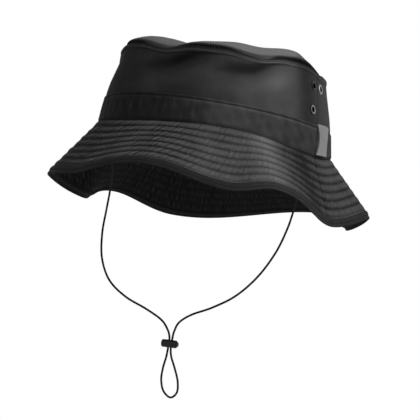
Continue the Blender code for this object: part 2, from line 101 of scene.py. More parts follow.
SIDE_TUCK = 0.0007            # the panels dip by this into their side seams
SIDE_TUCK_SPREAD = 0.0014
WORN_AND_LIT_PLACES = (               # degrees round the hat, how faded the cloth is there, with painted light and shade: palest on the key light's side
    (-60, -1.1), (-12, 0.1), (8, -0.4), (29, 0.3), (43, 1.0),
    (55, 1.5), (64, 1.4), (77, -0.4), (93, 0.65), (180, 0.4),
)
HALVES = {"front": -pi/2, "back": pi/2}
UP = np.array((0.0, 0.0, 1.0))


def points(x, y, z):
    return np.stack(np.broadcast_arrays(x, y, z), axis=-1)


def unit(vectors):
    return vectors/np.linalg.norm(vectors, axis=-1, keepdims=True)


def smooth(share):
    """0 up to 0, 1 from 1 on, and an even S between."""
    share = np.clip(share, 0, 1)
    return share*share*(3 - 2*share)


def hump(distance, spread):
    return np.exp(-(distance/spread)**2)


def eased(pairs, azimuth):
    """A value that swings smoothly round the hat from one (degrees, value) pair to the next."""
    marks = np.radians([mark for mark, value in pairs] + [pairs[0][0] + 360])
    values = np.array([value for mark, value in pairs] + [pairs[0][1]])
    place = (azimuth - marks[0]) % (2*pi) + marks[0]
    after = np.clip(np.searchsorted(marks, place, side="right"), 1, len(pairs))
    share = (place - marks[after - 1])/(marks[after] - marks[after - 1])
    return values[after - 1] + (values[after] - values[after - 1])*(1 - np.cos(pi*share))/2


def outward(azimuth):
    """Level direction square to the crown's outline. Azimuth 0 is the front, 90 degrees the wearer's left."""
    across = np.sin(azimuth)/CROWN_HALF_WIDTH
    along = -np.cos(azimuth)/CROWN_HALF_LENGTH
    size = np.hypot(across, along)
    return points(across/size, along/size, 0)


def wall_normal(azimuth, height):
    share = np.minimum(height/CROWN_HEIGHT, 1)
    slope = CROWN_TAPER - CROWN_SWELL*pi*np.sin(2*pi*share)
    return unit(outward(azimuth)*CROWN_HEIGHT + UP*np.expand_dims(slope, -1))


def pinch(azimuth):
    """1 where the top seam is pinched, falling to 0 between pinches."""
    return ((1 + np.cos(PUFF_COUNT*(azimuth - FIRST_PINCH)))/2)**2


def seam_height(azimuth):
    return CROWN_HEIGHT + CROWN_SIDE_RISE*np.sin(azimuth)**2 - PINCH_DIP*pinch(azimuth)


def join_height(azimuth):
    return eased(JOIN_WAVES, azimuth)


def wall_folds(azimuth, height):
    """How far the folds draw the wall in, and the light and shade that they paint on the cloth."""
    painted_shade, shade_rise, shade_spread = FOLD_PAINTED_SHADE
    painted_light, light_drop, light_spread = FOLD_PAINTED_LIGHT
    below = seam_height(azimuth) - height
    depth = 0*below
    shade = 0*below
    for place, turn, deepest in WALL_FOLDS:
        aside = (azimuth - radians(place) + pi) % (2*pi) - pi
        near = deepest*hump(aside, radians(turn))
        from_line = below - FOLD_DROP + FOLD_SLANT*aside
        depth = depth + near*hump(from_line, np.where(from_line < 0, FOLD_ABOVE, FOLD_BELOW))
        beside = hump(aside - radians(0.6*turn), radians(1.4*turn))
        # Painted shade above each fold's deepest line, and painted light below it, a little towards the
        # wearer's left.
        shade = shade - near/FOLD_FULL*painted_shade*hump(from_line + shade_rise, shade_spread)
        shade = shade + deepest*beside/FOLD_FULL*painted_light*hump(from_line - light_drop, light_spread)
    clear = smooth((below - TURNED_WIDTH)/FOLD_CLEAR)
    return depth*clear, shade*clear


def wall_point(azimuth, height, offset):
    """A point square to the crown wall by offset."""
    share = height/CROWN_HEIGHT
    inwards = CROWN_TAPER*share - CROWN_SWELL*np.sin(pi*np.minimum(share, 1))**2
    x = (CROWN_HALF_WIDTH - inwards)*np.sin(azimuth)
    y = -(CROWN_HALF_LENGTH - inwards)*np.cos(azimuth) - CROWN_LEAN*share
    stand = np.expand_dims(offset - wall_folds(azimuth, height)[0], -1)
    return points(x, y, height) + wall_normal(azimuth, height)*stand


def around(side, across):
    """Azimuth of a share across a front or back half, or across the whole round."""
    if side == "whole":
        return -pi/2 + 2*pi*across
    trim = SEWING_GAP/CROWN_HALF_LENGTH
    return HALVES[side] + trim + (pi - 2*trim)*across


def leaning(azimuth, rise):
    """Azimuth of a place on cloth whose side seams lean. rise is a share of the crown's height."""
    return azimuth - SEAM_LEAN*(1 - rise)**1.5*np.sin(azimuth)


def side_tuck(across):
    """How far the cloth dips into the side seam at either end of a half."""
    from_seam = np.minimum(across, 1 - across)*pi*CROWN_HALF_LENGTH
    return SIDE_TUCK*hump(from_seam, SIDE_TUCK_SPREAD)


def wall_strip(side, lower, upper, shape, top_rise):
    """Places a half on the crown wall, up to a share of its height. shape gives its offset, and its fading
    with the light and shade painted on it.
    """
    def place(across, up):
        azimuth = leaning(around(side, across), up*top_rise)
        low = lower(azimuth)
        height = low + (upper(azimuth) - low)*up
        offset, fade_and_painted_light = shape(azimuth, height)
        return wall_point(azimuth, height, offset - side_tuck(across)), fade_and_painted_light
    return place


def start_piece(name, primitive, **settings):
    """Adds a primitive with nothing else selected, its place in its mesh."""
    bpy.ops.object.select_all(action="DESELECT")
    getattr(bpy.ops.mesh, primitive)(**settings)
    piece = bpy.context.object
    piece.name = name
    piece.data.name = name
    bpy.ops.object.transform_apply(location=True, rotation=True, scale=True)
    return piece


def lay_grid(name, place, columns, rows, cut, closed, fine=(0.5, 0.5)):
    """A grid laid on place(across, up), both from 0 to 1, with a UV map of the flat cut in metres.

    place also says how faded each point is, with the light and shade painted on it, and may say where it
    lies on the flat cut, where that isn't a strip. closed sews the edges that meet. fine is a share of the
    rows at the upper edge, and the share of the cloth that they take up.
    """
    piece = start_piece(name, "primitive_grid_add", x_subdivisions=columns, y_subdivisions=rows, size=1)
    mesh = piece.data
    flat = np.empty(3*len(mesh.vertices), np.float32)
    mesh.vertices.foreach_get("co", flat)
    across, up = flat.reshape(-1, 3)[:, :2].T.astype(float) + 0.5
    up = np.interp(up, (0, 1 - fine[0], 1), (0, 1 - fine[1], 1))
    spots, fade_and_painted_light, *on_cut = place(across, up)
    mesh.vertices.foreach_set("co", spots.ravel().astype(np.float32))
    fade_and_light_layer = mesh.attributes.new("fade_and_painted_light", "FLOAT", "POINT")
    fade_and_light_layer.data.foreach_set("value", np.broadcast_to(fade_and_painted_light, across.shape).astype(np.float32))
    corners = np.empty(len(mesh.loops), np.int32)
    mesh.loops.foreach_get("vertex_index", corners)
    on_strip = np.stack((across*cut[0], up*cut[1]), axis=-1)
    weave = (on_cut[0] if on_cut else on_strip)[corners]
    mesh.uv_layers.active.data.foreach_set("uv", weave.ravel().astype(np.float32))
    if closed:
        bpy.ops.object.mode_set(mode="EDIT")
        bpy.ops.mesh.select_all(action="SELECT")
        bpy.ops.mesh.remove_doubles(threshold=0.00001)
        bpy.ops.object.mode_set(mode="OBJECT")
    mesh.update()
    return piece


def select_only(piece):
    bpy.ops.object.select_all(action="DESELECT")
    piece.select_set(True)
    bpy.context.view_layer.objects.active = piece


def apply_modifier(piece, kind, **settings):
    select_only(piece)
    modifier = piece.modifiers.new(kind.lower(), kind)
    for key, value in settings.items():
        setattr(modifier, key, value)
    bpy.ops.object.modifier_apply(modifier=modifier.name)


def round_off(piece, angle=50):
    """Shades a piece smooth, apart from its edges."""
    select_only(piece)
    bpy.ops.object.shade_smooth_by_angle(angle=radians(angle))


def lay_cloth(name, place, columns, rows, cut, thickness, closed=False, fine=(0.5, 0.5)):
    """A piece of cloth: a grid laid on place, thickened away from its face."""
    piece = lay_grid(name, place, columns, rows, cut, closed, fine)
    apply_modifier(piece, "SOLIDIFY", thickness=thickness, offset=-1)
    round_off(piece)
    return piece


def feed(tree, node, inputs):
    """Sets a node's inputs. Each is a plain value, or a socket that is linked to it."""
    for key, value in inputs.items():
        if isinstance(value, bpy.types.NodeSocket):
            tree.links.new(value, node.inputs[key])
        else:
            node.inputs[key].default_value = value


def add_node(tree, kind, inputs, **settings):
    node = tree.nodes.new(kind)
    for key, value in settings.items():
        setattr(node, key, value)
    feed(tree, node, inputs)
    return node


def work_out(tree, operation, *values):
    return add_node(tree, "ShaderNodeMath", dict(enumerate(values)), operation=operation).outputs[0]


def spread_out(tree, value, low, high, least=0.0):
    """Stretches a value from low..high to least..1."""
    inputs = {"Value": value, "From Min": low, "From Max": high, "To Min": least}
    return add_node(tree, "ShaderNodeMapRange", inputs).outputs["Result"]


def mottling(tree, scale, detail, roughness=0.5):
    """Cloudy noise over the piece."""
    place = add_node(tree, "ShaderNodeTexCoord", {}).outputs["Object"]
    inputs = {"Vector": place, "Scale": scale, "Detail": detail, "Roughness": roughness}
    return add_node(tree, "ShaderNodeTexNoise", inputs).outputs["Fac"]


def bands(tree, vector, direction="X"):
    """Soft bands across a direction."""
    inputs = {"Vector": vector, "Scale": 1.0}
    return add_node(tree, "ShaderNodeTexWave", inputs, bands_direction=direction).outputs["Fac"]


def relief(tree, height, depth):
    return add_node(tree, "ShaderNodeBump", {"Height": height, "Distance": depth}).outputs["Normal"]


def make_woven_cloth():
    """Yarns crossing in a twill, soft mottling of the dye, and sparse lint."""
    wave_period = 0.314           # of Blender's wave texture at scale 1
    group = bpy.data.node_groups.new("woven_cloth", "ShaderNodeTree")
    sockets = {"Yarns per metre": "INPUT", "Weave": "OUTPUT", "Mottle": "OUTPUT", "Lint": "OUTPUT"}
    for socket, end in sockets.items():
        group.interface.new_socket(socket, in_out=end, socket_type="NodeSocketFloat")
    count = add_node(group, "NodeGroupInput", {}).outputs["Yarns per metre"]
    cut = add_node(group, "ShaderNodeUVMap", {}).outputs["UV"]
    scale = work_out(group, "MULTIPLY", count, wave_period)
    yarns = add_node(group, "ShaderNodeVectorMath", {0: cut, "Scale": scale}, operation="SCALE").outputs[0]
    weft, warp, slant = (bands(group, yarns, direction) for direction in ("X", "Y", "DIAGONAL"))
    twill = work_out(group, "ADD", work_out(group, "MULTIPLY", weft, warp), slant)
    add_node(group, "NodeGroupOutput", {
        "Weave": work_out(group, "MULTIPLY", twill, 0.5),
        "Mottle": spread_out(group, mottling(group, 55.0, 4.0, 0.62), 0.32, 0.68),
        "Lint": spread_out(group, mottling(group, 900.0, 1.0), 0.56, 0.78)})
    return group


WOVEN_CLOTH = make_woven_cloth()


def new_finish(name):
    """A material with its node tree and its shader."""
    material = bpy.data.materials.new(name)
    material.use_nodes = True
    return material, material.node_tree, material.node_tree.nodes["Principled BSDF"]


def cloth_finish(name, deep, faded_and_lit, yarns, fade_and_light_share, roughness=0.85, sheen=0.0, slubs=0.12):
    """Woven cloth, from deep in its dye to faded and painted light, darker still with painted shade in
    creases and grooves, and bare on rubbed edges and painted highlights.
    """
    material, tree, shader = new_finish(name)
    weave = add_node(tree, "ShaderNodeGroup", {"Yarns per metre": yarns}, node_tree=WOVEN_CLOTH).outputs
    fade_and_painted_light = add_node(tree, "ShaderNodeAttribute", {}, attribute_name="fade_and_painted_light").outputs["Fac"]
    mottle = work_out(tree, "MULTIPLY", weave["Mottle"], 0.28)
    lint = work_out(tree, "MULTIPLY", weave["Lint"], slubs)
    uneven = work_out(tree, "ADD", mottle, lint)
    share = work_out(tree, "ADD", uneven, work_out(tree, "MULTIPLY", fade_and_painted_light, fade_and_light_share))
    ramp = add_node(tree, "ShaderNodeValToRGB", {"Fac": spread_out(tree, share, -1, 2)})
    stops = ramp.color_ramp.elements
    stops.new(1/3)
    stops.new(2/3)
    # Below the deep dye lies the painted shade, and above the faded colour lie bare rubbed cloth and painted
    # highlights.
    colours = ([0.2*part for part in deep], deep, faded_and_lit, [2.4*part for part in faded_and_lit])
    for stop, colour in zip(stops, colours):
        stop.color = (*colour, 1)
    feed(tree, shader, {
        "Base Color": ramp.outputs["Color"],
        "Roughness": work_out(tree, "MULTIPLY_ADD", weave["Mottle"], 0.08, roughness - 0.04),
        "Normal": relief(tree, weave["Weave"], 0.00012),
        "Sheen Weight": sheen, "Sheen Roughness": 0.4, "Specular IOR Level": 0.05})
    return material


def dress(piece, finish, slot, *nodes, body="hat"):
    """Gives a piece its finish, in place of its nodes, and the body it moves with."""
    piece.data.materials.clear()
    piece.data.materials.append(finish)
    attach(piece, body)
    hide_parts(*nodes)


def panel_shape(azimuth, height):
    """A smooth wall up to the turned edge, whose two rims are pale with rubbed wear and painted highlights,
    and whose stitches sink in along a line of painted shade.
    """
    below = seam_height(azimuth) - height
    turned = 1 - smooth((below - TURNED_WIDTH)/TURNED_STEP)
    sewn = hump(below - TOPSTITCH_DROP, SEWN_SPREAD)
    rubbed_and_highlit_rims = 0.5*hump(below, RIM_SPREAD) + hump(below - TURNED_WIDTH + RIM_INSET, RIM_SPREAD)
    shadow = hump(below - TURNED_WIDTH - SHADOW_DROP, SHADOW_SPREAD)
    fade_and_painted_light = eased(WORN_AND_LIT_PLACES, azimuth) + wall_folds(azimuth, height)[1]
    # The turned edge is a little darker. Its rims get painted highlights, its stitch line gets painted shade,
    # and the wall just below it gets a painted shadow line.
    return TURNED_LIFT*turned - SEWN_SINK*sewn, fade_and_painted_light - 0.3*turned + 1.8*rubbed_and_highlit_rims - 0.8*sewn - 0.7*shadow


CHARCOAL_TWILL = cloth_finish("charcoal_twill", (0.022, 0.022, 0.0225), (0.066, 0.066, 0.067), 1800, 0.5)
panels = {}
for side in HALVES:
    place = wall_strip(side, join_height, seam_height, panel_shape, 1)
    panel = lay_cloth(f"{side}_panel", place, 220, 66, PANEL_CUT, PANEL_CLOTH, fine=(0.42, 0.10))
    dress(panel, CHARCOAL_TWILL, "charcoal_cloth", f"crown_{side}_panel")
    panels[side] = panel

# Crown top: an oval of the same twill, cut fuller than the opening and gathered into the top seam, so that
# it puffs up between seven pinches. The groove under each puff is painted in shade, broken into small teeth
# of painted light where the gathers stand out.
TOP_HEIGHT = 0.066
TOP_MIDDLE = np.array((0, -CROWN_LEAN, 0))
TOP_FULLNESS = 2.4
PINCH_DEPTH = 0.5             # share of its rise that the top loses at a pinch
PINCH_HOLD = ((-7, 1.0), (44, 0.10), (147, 1.0))   # how firmly the pinches hold it, round the hat
PUFF_WAVES = (                # degrees round the hat, how far the top puffs up there
    (-49, 0.0042), (6, 0.0026), (38, 0.0062), (66, 0.0082), (90, 0.0034), (118, 0.0016), (180, 0.0040),
)
PUFF_CROWDING = 5             # draws the crests of the puffs out towards the seam
VALLEY_TURN = radians(16)     # the valleys swing to the wearer's left by this, close to the seam
VALLEY_SPREAD = 0.25          # share of the way in from the seam over which they do so
TOP_CUT = (0.190, 0.215)
TOP_LEVEL_SHARE = 0.87        # of the way from its seam to its middle, the rest is its rise
GROOVE_ROWS = 0.5625          # share of the rows, for the stretch next to the seam
GROOVE_TURN = radians(20)
GROOVE_PLACES = (             # degrees round the hat, how far the puff folds over the groove there, and how much shade is painted in it
    (-110, 0.1), (-84, 0.8), (-54, 1.0), (-30, 0.9), (-16, 0.1), (-6, 0.05), (10, 1.0), (23, 0.9),
    (40, 0.3), (48, 0.05), (58, 0.7), (74, 1.25), (90, 1.1), (102, 0.3), (121, 0.8), (147, 0.1),
    (172, 0.9), (199, 0.1), (225, 0.9),
)
GROOVE_DEPTH = 0.0013
GROOVE_LIFT = 0.0012          # over the seam, like the lifts and reaches below
GROOVE_SPREAD = 0.0009
LIP_STAND = 0.0011            # the puff's lip stands out by this over the groove
LIP_LIFT = 0.0040
LIP_SPREAD = 0.0017
GATHER_COUNT = 262
GATHER_DEPTH = 0.00040
GATHER_LIFT = 0.0022
GATHER_SPREAD = 0.0016
GROOVE_REACH = 0.0041         # the groove's painted shade ends this high, in teeth
TOOTH_REACH = 0.0012
TOOTH_EDGE = 0.0007
TOP_PAINTED_LIGHT = (                  # degrees round the hat, how much paler than the wall the puffs are painted, as light from above
    (-60, 3.2), (-5, 3.3), (12, 4.5), (30, 3.8), (45, 3.0), (70, 2.9), (95, 2.2), (180, 1.6),
)
PUFF_LIGHT_FROM = 0.002           # the puffs are painted paler from this lift on
PUFF_LIGHT_OVER = 0.003           # and fully so this much higher
MIDDLE_FADE_AND_LIGHT = 1.8             # how faded the top's middle is, painted light included
MIDDLE_SHARE = 0.2            # of the way out from it
MIDDLE_SPREAD = 0.6           # and the share over which this gives way


def top_valleys(azimuth, width):
    """The azimuth that a spot of the top takes its shape from, and how far a pinch holds it down."""
    swung = azimuth - VALLEY_TURN*smooth((1 - width)/VALLEY_SPREAD)
    return swung, pinch(swung)*eased(PINCH_HOLD, swung)


def dome(turn):
    """How far out from the middle and how far up from the seam a full dome lies, as shares."""
    return np.clip(np.cos(turn), 0, 1)**(2/TOP_FULLNESS), np.sin(turn)**(2/TOP_FULLNESS)


def top_place(across, up):
    azimuth = around("whole", across)
    rim = wall_point(azimuth, seam_height(azimuth), 0) + UP*SEWING_GAP
    low = np.minimum(up/GROOVE_ROWS, 1)
    high = np.maximum(up - GROOVE_ROWS, 0)/(1 - GROOVE_ROWS)
    width, rise = dome(GROOVE_TURN*low**(TOP_FULLNESS/2) + (pi/2 - GROOVE_TURN)*high)
    swung, held = top_valleys(azimuth, width)
    rise = rise*(1 - PINCH_DEPTH*held*width**2)
    lift = (TOP_HEIGHT - rim[:, 2])*rise
    lift += eased(PUFF_WAVES, swung)*(1 - held)*np.sin(pi*width**PUFF_CROWDING)
    folded = eased(GROOVE_PLACES, azimuth)
    groove = hump(lift - GROOVE_LIFT, GROOVE_SPREAD)
    lip = hump(lift - LIP_LIFT, LIP_SPREAD)
    wander = 1.6*np.sin(9*azimuth) + 1.1*np.sin(23*azimuth + 1)
    tooth = np.sin(GATHER_COUNT*azimuth + wander)
    raised = tooth*hump(lift - GATHER_LIFT, GATHER_SPREAD)
    out = folded*(LIP_STAND*lip - GROOVE_DEPTH*groove + GATHER_DEPTH*raised)
    spot = TOP_MIDDLE + (rim - TOP_MIDDLE)*width[:, None] + outward(azimuth)*out[:, None]
    spot[:, 2] = rim[:, 2] + lift
    # Painted shade in the groove under the puff, with teeth of painted light on the gathers.
    shaded = smooth((folded*(GROOVE_REACH + TOOTH_REACH*tooth) - lift)/TOOTH_EDGE)
    # The puffs are painted paler as they rise, for the light from above.
    puff_light = smooth((lift - PUFF_LIGHT_FROM)/PUFF_LIGHT_OVER)
    worn_and_lit = eased(WORN_AND_LIT_PLACES, azimuth) + eased(TOP_PAINTED_LIGHT, azimuth)*puff_light
    worn_and_lit = MIDDLE_FADE_AND_LIGHT + (worn_and_lit - MIDDLE_FADE_AND_LIGHT)*smooth((width - MIDDLE_SHARE)/MIDDLE_SPREAD)
    fade_and_painted_light = worn_and_lit*(1 - shaded) - shaded*(2.2 - 2.6*tooth)
    from_middle = TOP_LEVEL_SHARE*width + (1 - TOP_LEVEL_SHARE)*(1 - rise)
    facing = np.stack((np.sin(azimuth), -np.cos(azimuth)), axis=-1)
    return spot, fade_and_painted_light, facing*from_middle[:, None]*np.array(TOP_CUT)/2


crown_top = lay_cloth("gathered_top", top_place, 1480, 32, TOP_CUT, PANEL_CLOTH, closed=True)
dress(crown_top, CHARCOAL_TWILL, "charcoal_cloth", "crown_top")

# Topstitching: one row of thick thread through the turned edge, all the way round under the top seam.
# Each stitch lies on the cloth as a short grain.
STITCH_PITCH = 0.0019
THREAD_RADIUS = 0.00026
STITCH_REACH = (0.38*STITCH_PITCH, THREAD_RADIUS, THREAD_RADIUS)   # half sizes along, across and up
ROW_POINTS = 1200


def make_grain():
    """Corners and faces of one stitch, a unit long each way."""
    ball = start_piece("grain", "primitive_ico_sphere_add", subdivisions=1, radius=1)
    corners = np.array([vertex.co[:] for vertex in ball.data.vertices])
    faces = np.array([face.vertices[:] for face in ball.data.polygons])
    bpy.data.objects.remove(ball, do_unlink=True)
    return corners, faces


GRAIN_CORNERS, GRAIN_FACES = make_grain()


def lengths_along(line):
    """How far along a line each of its points lies."""
    return np.concatenate(([0], np.cumsum(np.linalg.norm(np.diff(line, axis=0), axis=1))))


def at_marks(marks, lengths, values):
    """Values at a line's points, mixed for marks along it."""
    return np.stack([np.interp(marks, lengths, values[:, axis]) for axis in range(3)], axis=-1)


def add_object(name, data):
    piece = bpy.data.objects.new(name, data)
    bpy.context.scene.collection.objects.link(piece)
    return piece


def sew(name, rows):
    """Rows of stitches as one piece. A row is a line of points and the cloth's facing at each of them."""
    spots = []
    for line, facing in rows:
        lengths = lengths_along(line)
        count = int(lengths[-1]/STITCH_PITCH)
        marks = (np.arange(count) + 0.5)*lengths[-1]/count
        ahead = unit(at_marks(marks, lengths, np.gradient(line, axis=0)))
        aside = unit(np.cross(at_marks(marks, lengths, facing), ahead))
        grains = at_marks(marks, lengths, line)[:, None]
        sides = (ahead, aside, np.cross(ahead, aside))
        for direction, corners, reach in zip(sides, GRAIN_CORNERS.T, STITCH_REACH):
            grains = grains + direction[:, None]*(corners*reach)[None, :, None]
        spots.append(grains.reshape(-1, 3))
    spots = np.concatenate(spots)
    starts = np.arange(0, len(spots), len(GRAIN_CORNERS))
    faces = (GRAIN_FACES[None] + starts[:, None, None]).reshape(-1, 3)
    mesh = bpy.data.meshes.new(name)
    mesh.from_pydata(spots.tolist(), [], faces.tolist())
    mesh.shade_smooth()
    return add_object(name, mesh)


def wall_row(height_at, offset):
    """A sewing line round the crown wall."""
    azimuth = np.linspace(-pi/2, 3*pi/2, ROW_POINTS)
    height = height_at(azimuth)
    return wall_point(azimuth, height, offset), wall_normal(azimuth, height)


def mix_colours(tree, share, *colours):
    """From the first colour to the second. Each is red, green and blue, or a socket."""
    first, second = (
        colour if isinstance(colour, bpy.types.NodeSocket) else (*colour, 1) for colour in colours)
    return add_node(tree, "ShaderNodeMix", {0: share, 6: first, 7: second}, data_type="RGBA").outputs[2]


def thread_finish(name, colour):
    """Spun thread, uneven in its dye."""
    material, tree, shader = new_finish(name)
    share = spread_out(tree, mottling(tree, 400.0, 2.0), 0.35, 0.65)
    feed(tree, shader, {
        "Base Color": mix_colours(tree, share, colour, [1.6*part for part in colour]),
        "Roughness": 0.7, "Specular IOR Level": 0.1})
    return material


TOPSTITCH_THREAD = thread_finish("topstitch_thread", (0.085, 0.085, 0.086))
top_stitching = sew("top_seam_stitching", [
    wall_row(lambda azimuth: seam_height(azimuth) - TOPSTITCH_DROP, TURNED_LIFT)])
dress(top_stitching, TOPSTITCH_THREAD, "charcoal_cloth")

# Hat band: a front and a back strip of the same twill round the foot of the crown, their upper edge turned
# and sewn down with one row of dark thread. Fine upright creases cross it, most towards the wearer's right,
# with painted shade in them and along the row, and painted light and shade on its upright streaks.
BAND_CLOTH = 0.0009
BAND_PRESSED = 0.0004         # the cloth is pressed flat by this, so that its edge hardly stands out
BAND_SHARE = 0.35             # of the crown's height
BAND_HEIGHT = BAND_SHARE*CROWN_HEIGHT
BAND_OFFSET = SEWING_GAP + BAND_CLOTH
BAND_FACE = BAND_OFFSET - BAND_PRESSED
BAND_CUT = (0.305, 0.024)
BAND_ROW = 0.0017             # the sewing row, below the band's upper edge
BAND_ROW_SINK = 0.0003
BAND_FULL = 0.0002            # the band swells out by this at mid-height
FOOT_TUCK = 0.0010            # and is tucked in by this at its foot
FOOT_HEIGHT = 0.0016
BAND_WORN_AND_LIT = (                 # degrees round the hat, how faded the band is there, with painted light and shade: palest on the key light's side
    (-60, -0.8), (-10, -0.75), (9, -0.5), (33, 0.95), (52, 0.65), (75, 0.25), (95, 0.3), (180, 0.2),
)
STREAK_PLACES = ((-62, 1.0), (-8, 0.75), (30, 0.22), (70, 0.2), (120, 0.5), (230, 0.9))
STREAK_DEPTH = 0.00016
BAND_LINE = (                 # degrees round the hat, how pale the line below the band's row is: rubbed wear with a painted highlight
    (-60, 0.3), (0, 0.3), (25, 0.45), (60, 0.6), (90, 0.5), (180, 0.3),
)
BAND_LINE_DROP = 0.0013
BAND_LINE_SPREAD = 0.0009
CREASE_FULL = 0.0006          # depth of a crease whose painted shade is full
BAND_CREASES = (              # degrees round the hat, lean in degrees, width in degrees, depth
    (-66, 3, 1.3, 0.0005), (-57, 2, 1.0, 0.0004), (-49, -3, 1.6, 0.0006), (-41, 2, 1.1, 0.0004),
    (-24, 4, 1.5, 0.0004), (-3, -3, 1.6, 0.0003), (21, 3, 2.0, 0.0003), (52, -2, 1.8, 0.0003),
    (74, 2, 1.2, 0.0003), (113, 3, 1.6, 0.0004), (139, -2, 1.5, 0.0004), (168, 3, 1.8, 0.0005),
    (203, -3, 1.5, 0.0004), (231, 2, 1.3, 0.0004), (255, -2, 1.5, 0.0004),
)


def level(height):
    """An edge or a row that runs level round the hat."""
    return lambda azimuth: np.full_like(azimuth, height)


def band_shape(azimuth, height):
    """Slightly swollen, sunk along its row and in its creases with painted shade, and with uneven upright
    streaks painted paler where they stand out.
    """
    below = BAND_HEIGHT - height
    sway = below/BAND_HEIGHT
    crease = np.zeros_like(azimuth)
    for place, lean, width, depth in BAND_CREASES:
        swerve = radians(place) + radians(lean)*(sway - 0.5)
        crease += depth*hump(azimuth - swerve, radians(width))*np.sin(pi*below/BAND_HEIGHT)**2
    full = np.sin(pi*np.clip(sway, 0, 1))
    streak = np.sin(67*azimuth + 2.1*np.sin(7*azimuth) + 1.3*sway)
    streak += 0.7*np.sin(149*azimuth + 2.6*np.sin(11*azimuth))
    streak *= eased(STREAK_PLACES, azimuth)*full*(0.6 + 0.4*np.sin(23*azimuth + 4*sway))
    blotch = np.sin(29*azimuth + 5*sway)*np.sin(13*azimuth - 7*sway) + 0.6*np.sin(53*azimuth - 9*sway)
    sewn = hump(below - BAND_ROW, SEWN_SPREAD)
    bare_and_highlit = eased(BAND_LINE, azimuth)*hump(below - BAND_ROW - BAND_LINE_DROP, BAND_LINE_SPREAD)
    rubbed_and_highlit_rims = 0.5*hump(below, SEWN_SPREAD) + bare_and_highlit
    foot = 1 - smooth((height - join_height(azimuth))/FOOT_HEIGHT)
    offset = BAND_FACE + BAND_FULL*full - crease + STREAK_DEPTH*streak - BAND_ROW_SINK*sewn - FOOT_TUCK*foot
    # Painted shade in the creases and along the row, painted light and shade on the streaks, and painted
    # highlights on the rims. The blotches are uneven dye.
    fade_and_painted_light = eased(BAND_WORN_AND_LIT, azimuth) + 0.5*streak + 0.25*blotch - 0.5*crease/CREASE_FULL
    return offset, fade_and_painted_light + 1.9*rubbed_and_highlit_rims - 1.6*sewn


for side in HALVES:
    place = wall_strip(side, join_height, level(BAND_HEIGHT), band_shape, BAND_SHARE)
    band = lay_cloth(f"{side}_band", place, 480, 36, BAND_CUT, BAND_CLOTH - BAND_PRESSED, fine=(0.5, 0.2))
    dress(band, CHARCOAL_TWILL, "charcoal_cloth", f"hat_band_{side}")
DARK_THREAD = thread_finish("dark_thread", (0.010, 0.010, 0.0105))
band_stitching = sew("band_stitching", [wall_row(level(BAND_HEIGHT - BAND_ROW), BAND_FACE - SEWN_SINK)])
dress(band_stitching, DARK_THREAD, "charcoal_cloth")

# Brim: a quilted top cloth and an under cloth, each in a front and a back half, with pressed fleece between
# them. Seven rows of stitching draw them together, so that the cloth swells and puckers between the rows.
# Shade is painted along the rows, and painted light and shade on the puckers' crests and troughs.
# The brim waves up and down round the hat.
BRIM_SLANT = 0.055
BRIM_WAVES = (                # degrees round the hat, droop below level in degrees
    (-142, 56), (-121, 40), (-87, 72), (-64, 53), (-32, 57), (3, 42.5),
    (33, 60), (48, 47.5), (83, 67), (107, 47), (130, 60), (150, 46), (168, 30),
)
JOIN_GAP = 0.0005
BRIM_CLOTH = 0.0006
BRIM_GAP = 0.0005
STIFFENER_SHEET = 0.0005
STIFFENER_LIFT = -(BRIM_CLOTH + BRIM_GAP)
BRIM_BACK_LIFT = STIFFENER_LIFT - STIFFENER_SHEET - BRIM_GAP - BRIM_CLOTH
ROW_PITCH = 0.0068
CHANNEL_COUNT = 7
QUILT_REACH = ROW_PITCH*CHANNEL_COUNT
QUILT_END = QUILT_REACH - 0.0001          # the cloth lies flat from the last row on
CLOTH_REACH = BRIM_SLANT - 0.0040         # the layers end inside the fold of the binding
CHANNEL_ROWS = 7              # grid rows across one channel
HEM_ROWS = 4                  # and across the plain cloth under the hem
TURNING_ROWS = 2              # and across the turning that is sewn to the crown, below the sweatband
SEAM_TURNING = 0.0030
CHANNEL_SWELL = 0.0004
PUCKER_COUNT = 204
PUCKER_CROWDING = 74          # puckers that the wearer's front right has fewer, and the back left more
PUCKER_DEPTH = 0.00016
PUCKER_SLANT = (              # degrees round the hat, slant of a pucker in puckers a channel
    (-60, 1.5), (10, 1.1), (60, 0.4), (95, 0.2), (150, 0.2), (240, 0.3),
)
PUCKER_PLACES = (             # degrees round the hat, how strong the puckers are, in relief and in their painted light and shade
    (-90, 2.2), (-30, 2.0), (0, 1.2), (22, 0.5), (55, 0.3), (72, 0.45), (95, 0.4), (150, 1.0), (215, 1.4),
)
ROW_SOFTNESS = (              # degrees round the hat, half width of a row's painted shade in channels
    (-60, 0.25), (-25, 0.22), (5, 0.18), (25, 0.26), (60, 0.30), (95, 0.25), (200, 0.2),
)
ROW_SHADE = (                 # degrees round the hat, how much shade is painted along the rows
    (-60, 2.4), (-25, 2.2), (5, 1.8), (25, 1.2), (60, 1.0), (95, 1.2), (200, 1.7),
)
BRIM_WORN_AND_LIT = (                 # degrees round the hat, how faded the top cloth is there, with painted light and shade: palest on the key light's side
    (-50, 0.2), (-9, 0.6), (4, 0.4), (26, 0.8), (37, 0.9), (49, 1.8),
    (61, 0.2), (71, -0.5), (82, 0.2), (92, 0.4), (180, 0.4),
)
BRIM_CUT = (0.420, 0.054)
STIFFENER_CUT = (0.84, 0.054)
BRIM_GRID_ROWS = CHANNEL_COUNT*CHANNEL_ROWS + HEM_ROWS
UPPER_GRID_ROWS = TURNING_ROWS + BRIM_GRID_ROWS
THREAD_RISE = 0.0001          # the quilting thread's middle lies this far out of the cloth
SMALL_TURN = radians(1)
SMALL_STEP = 0.001


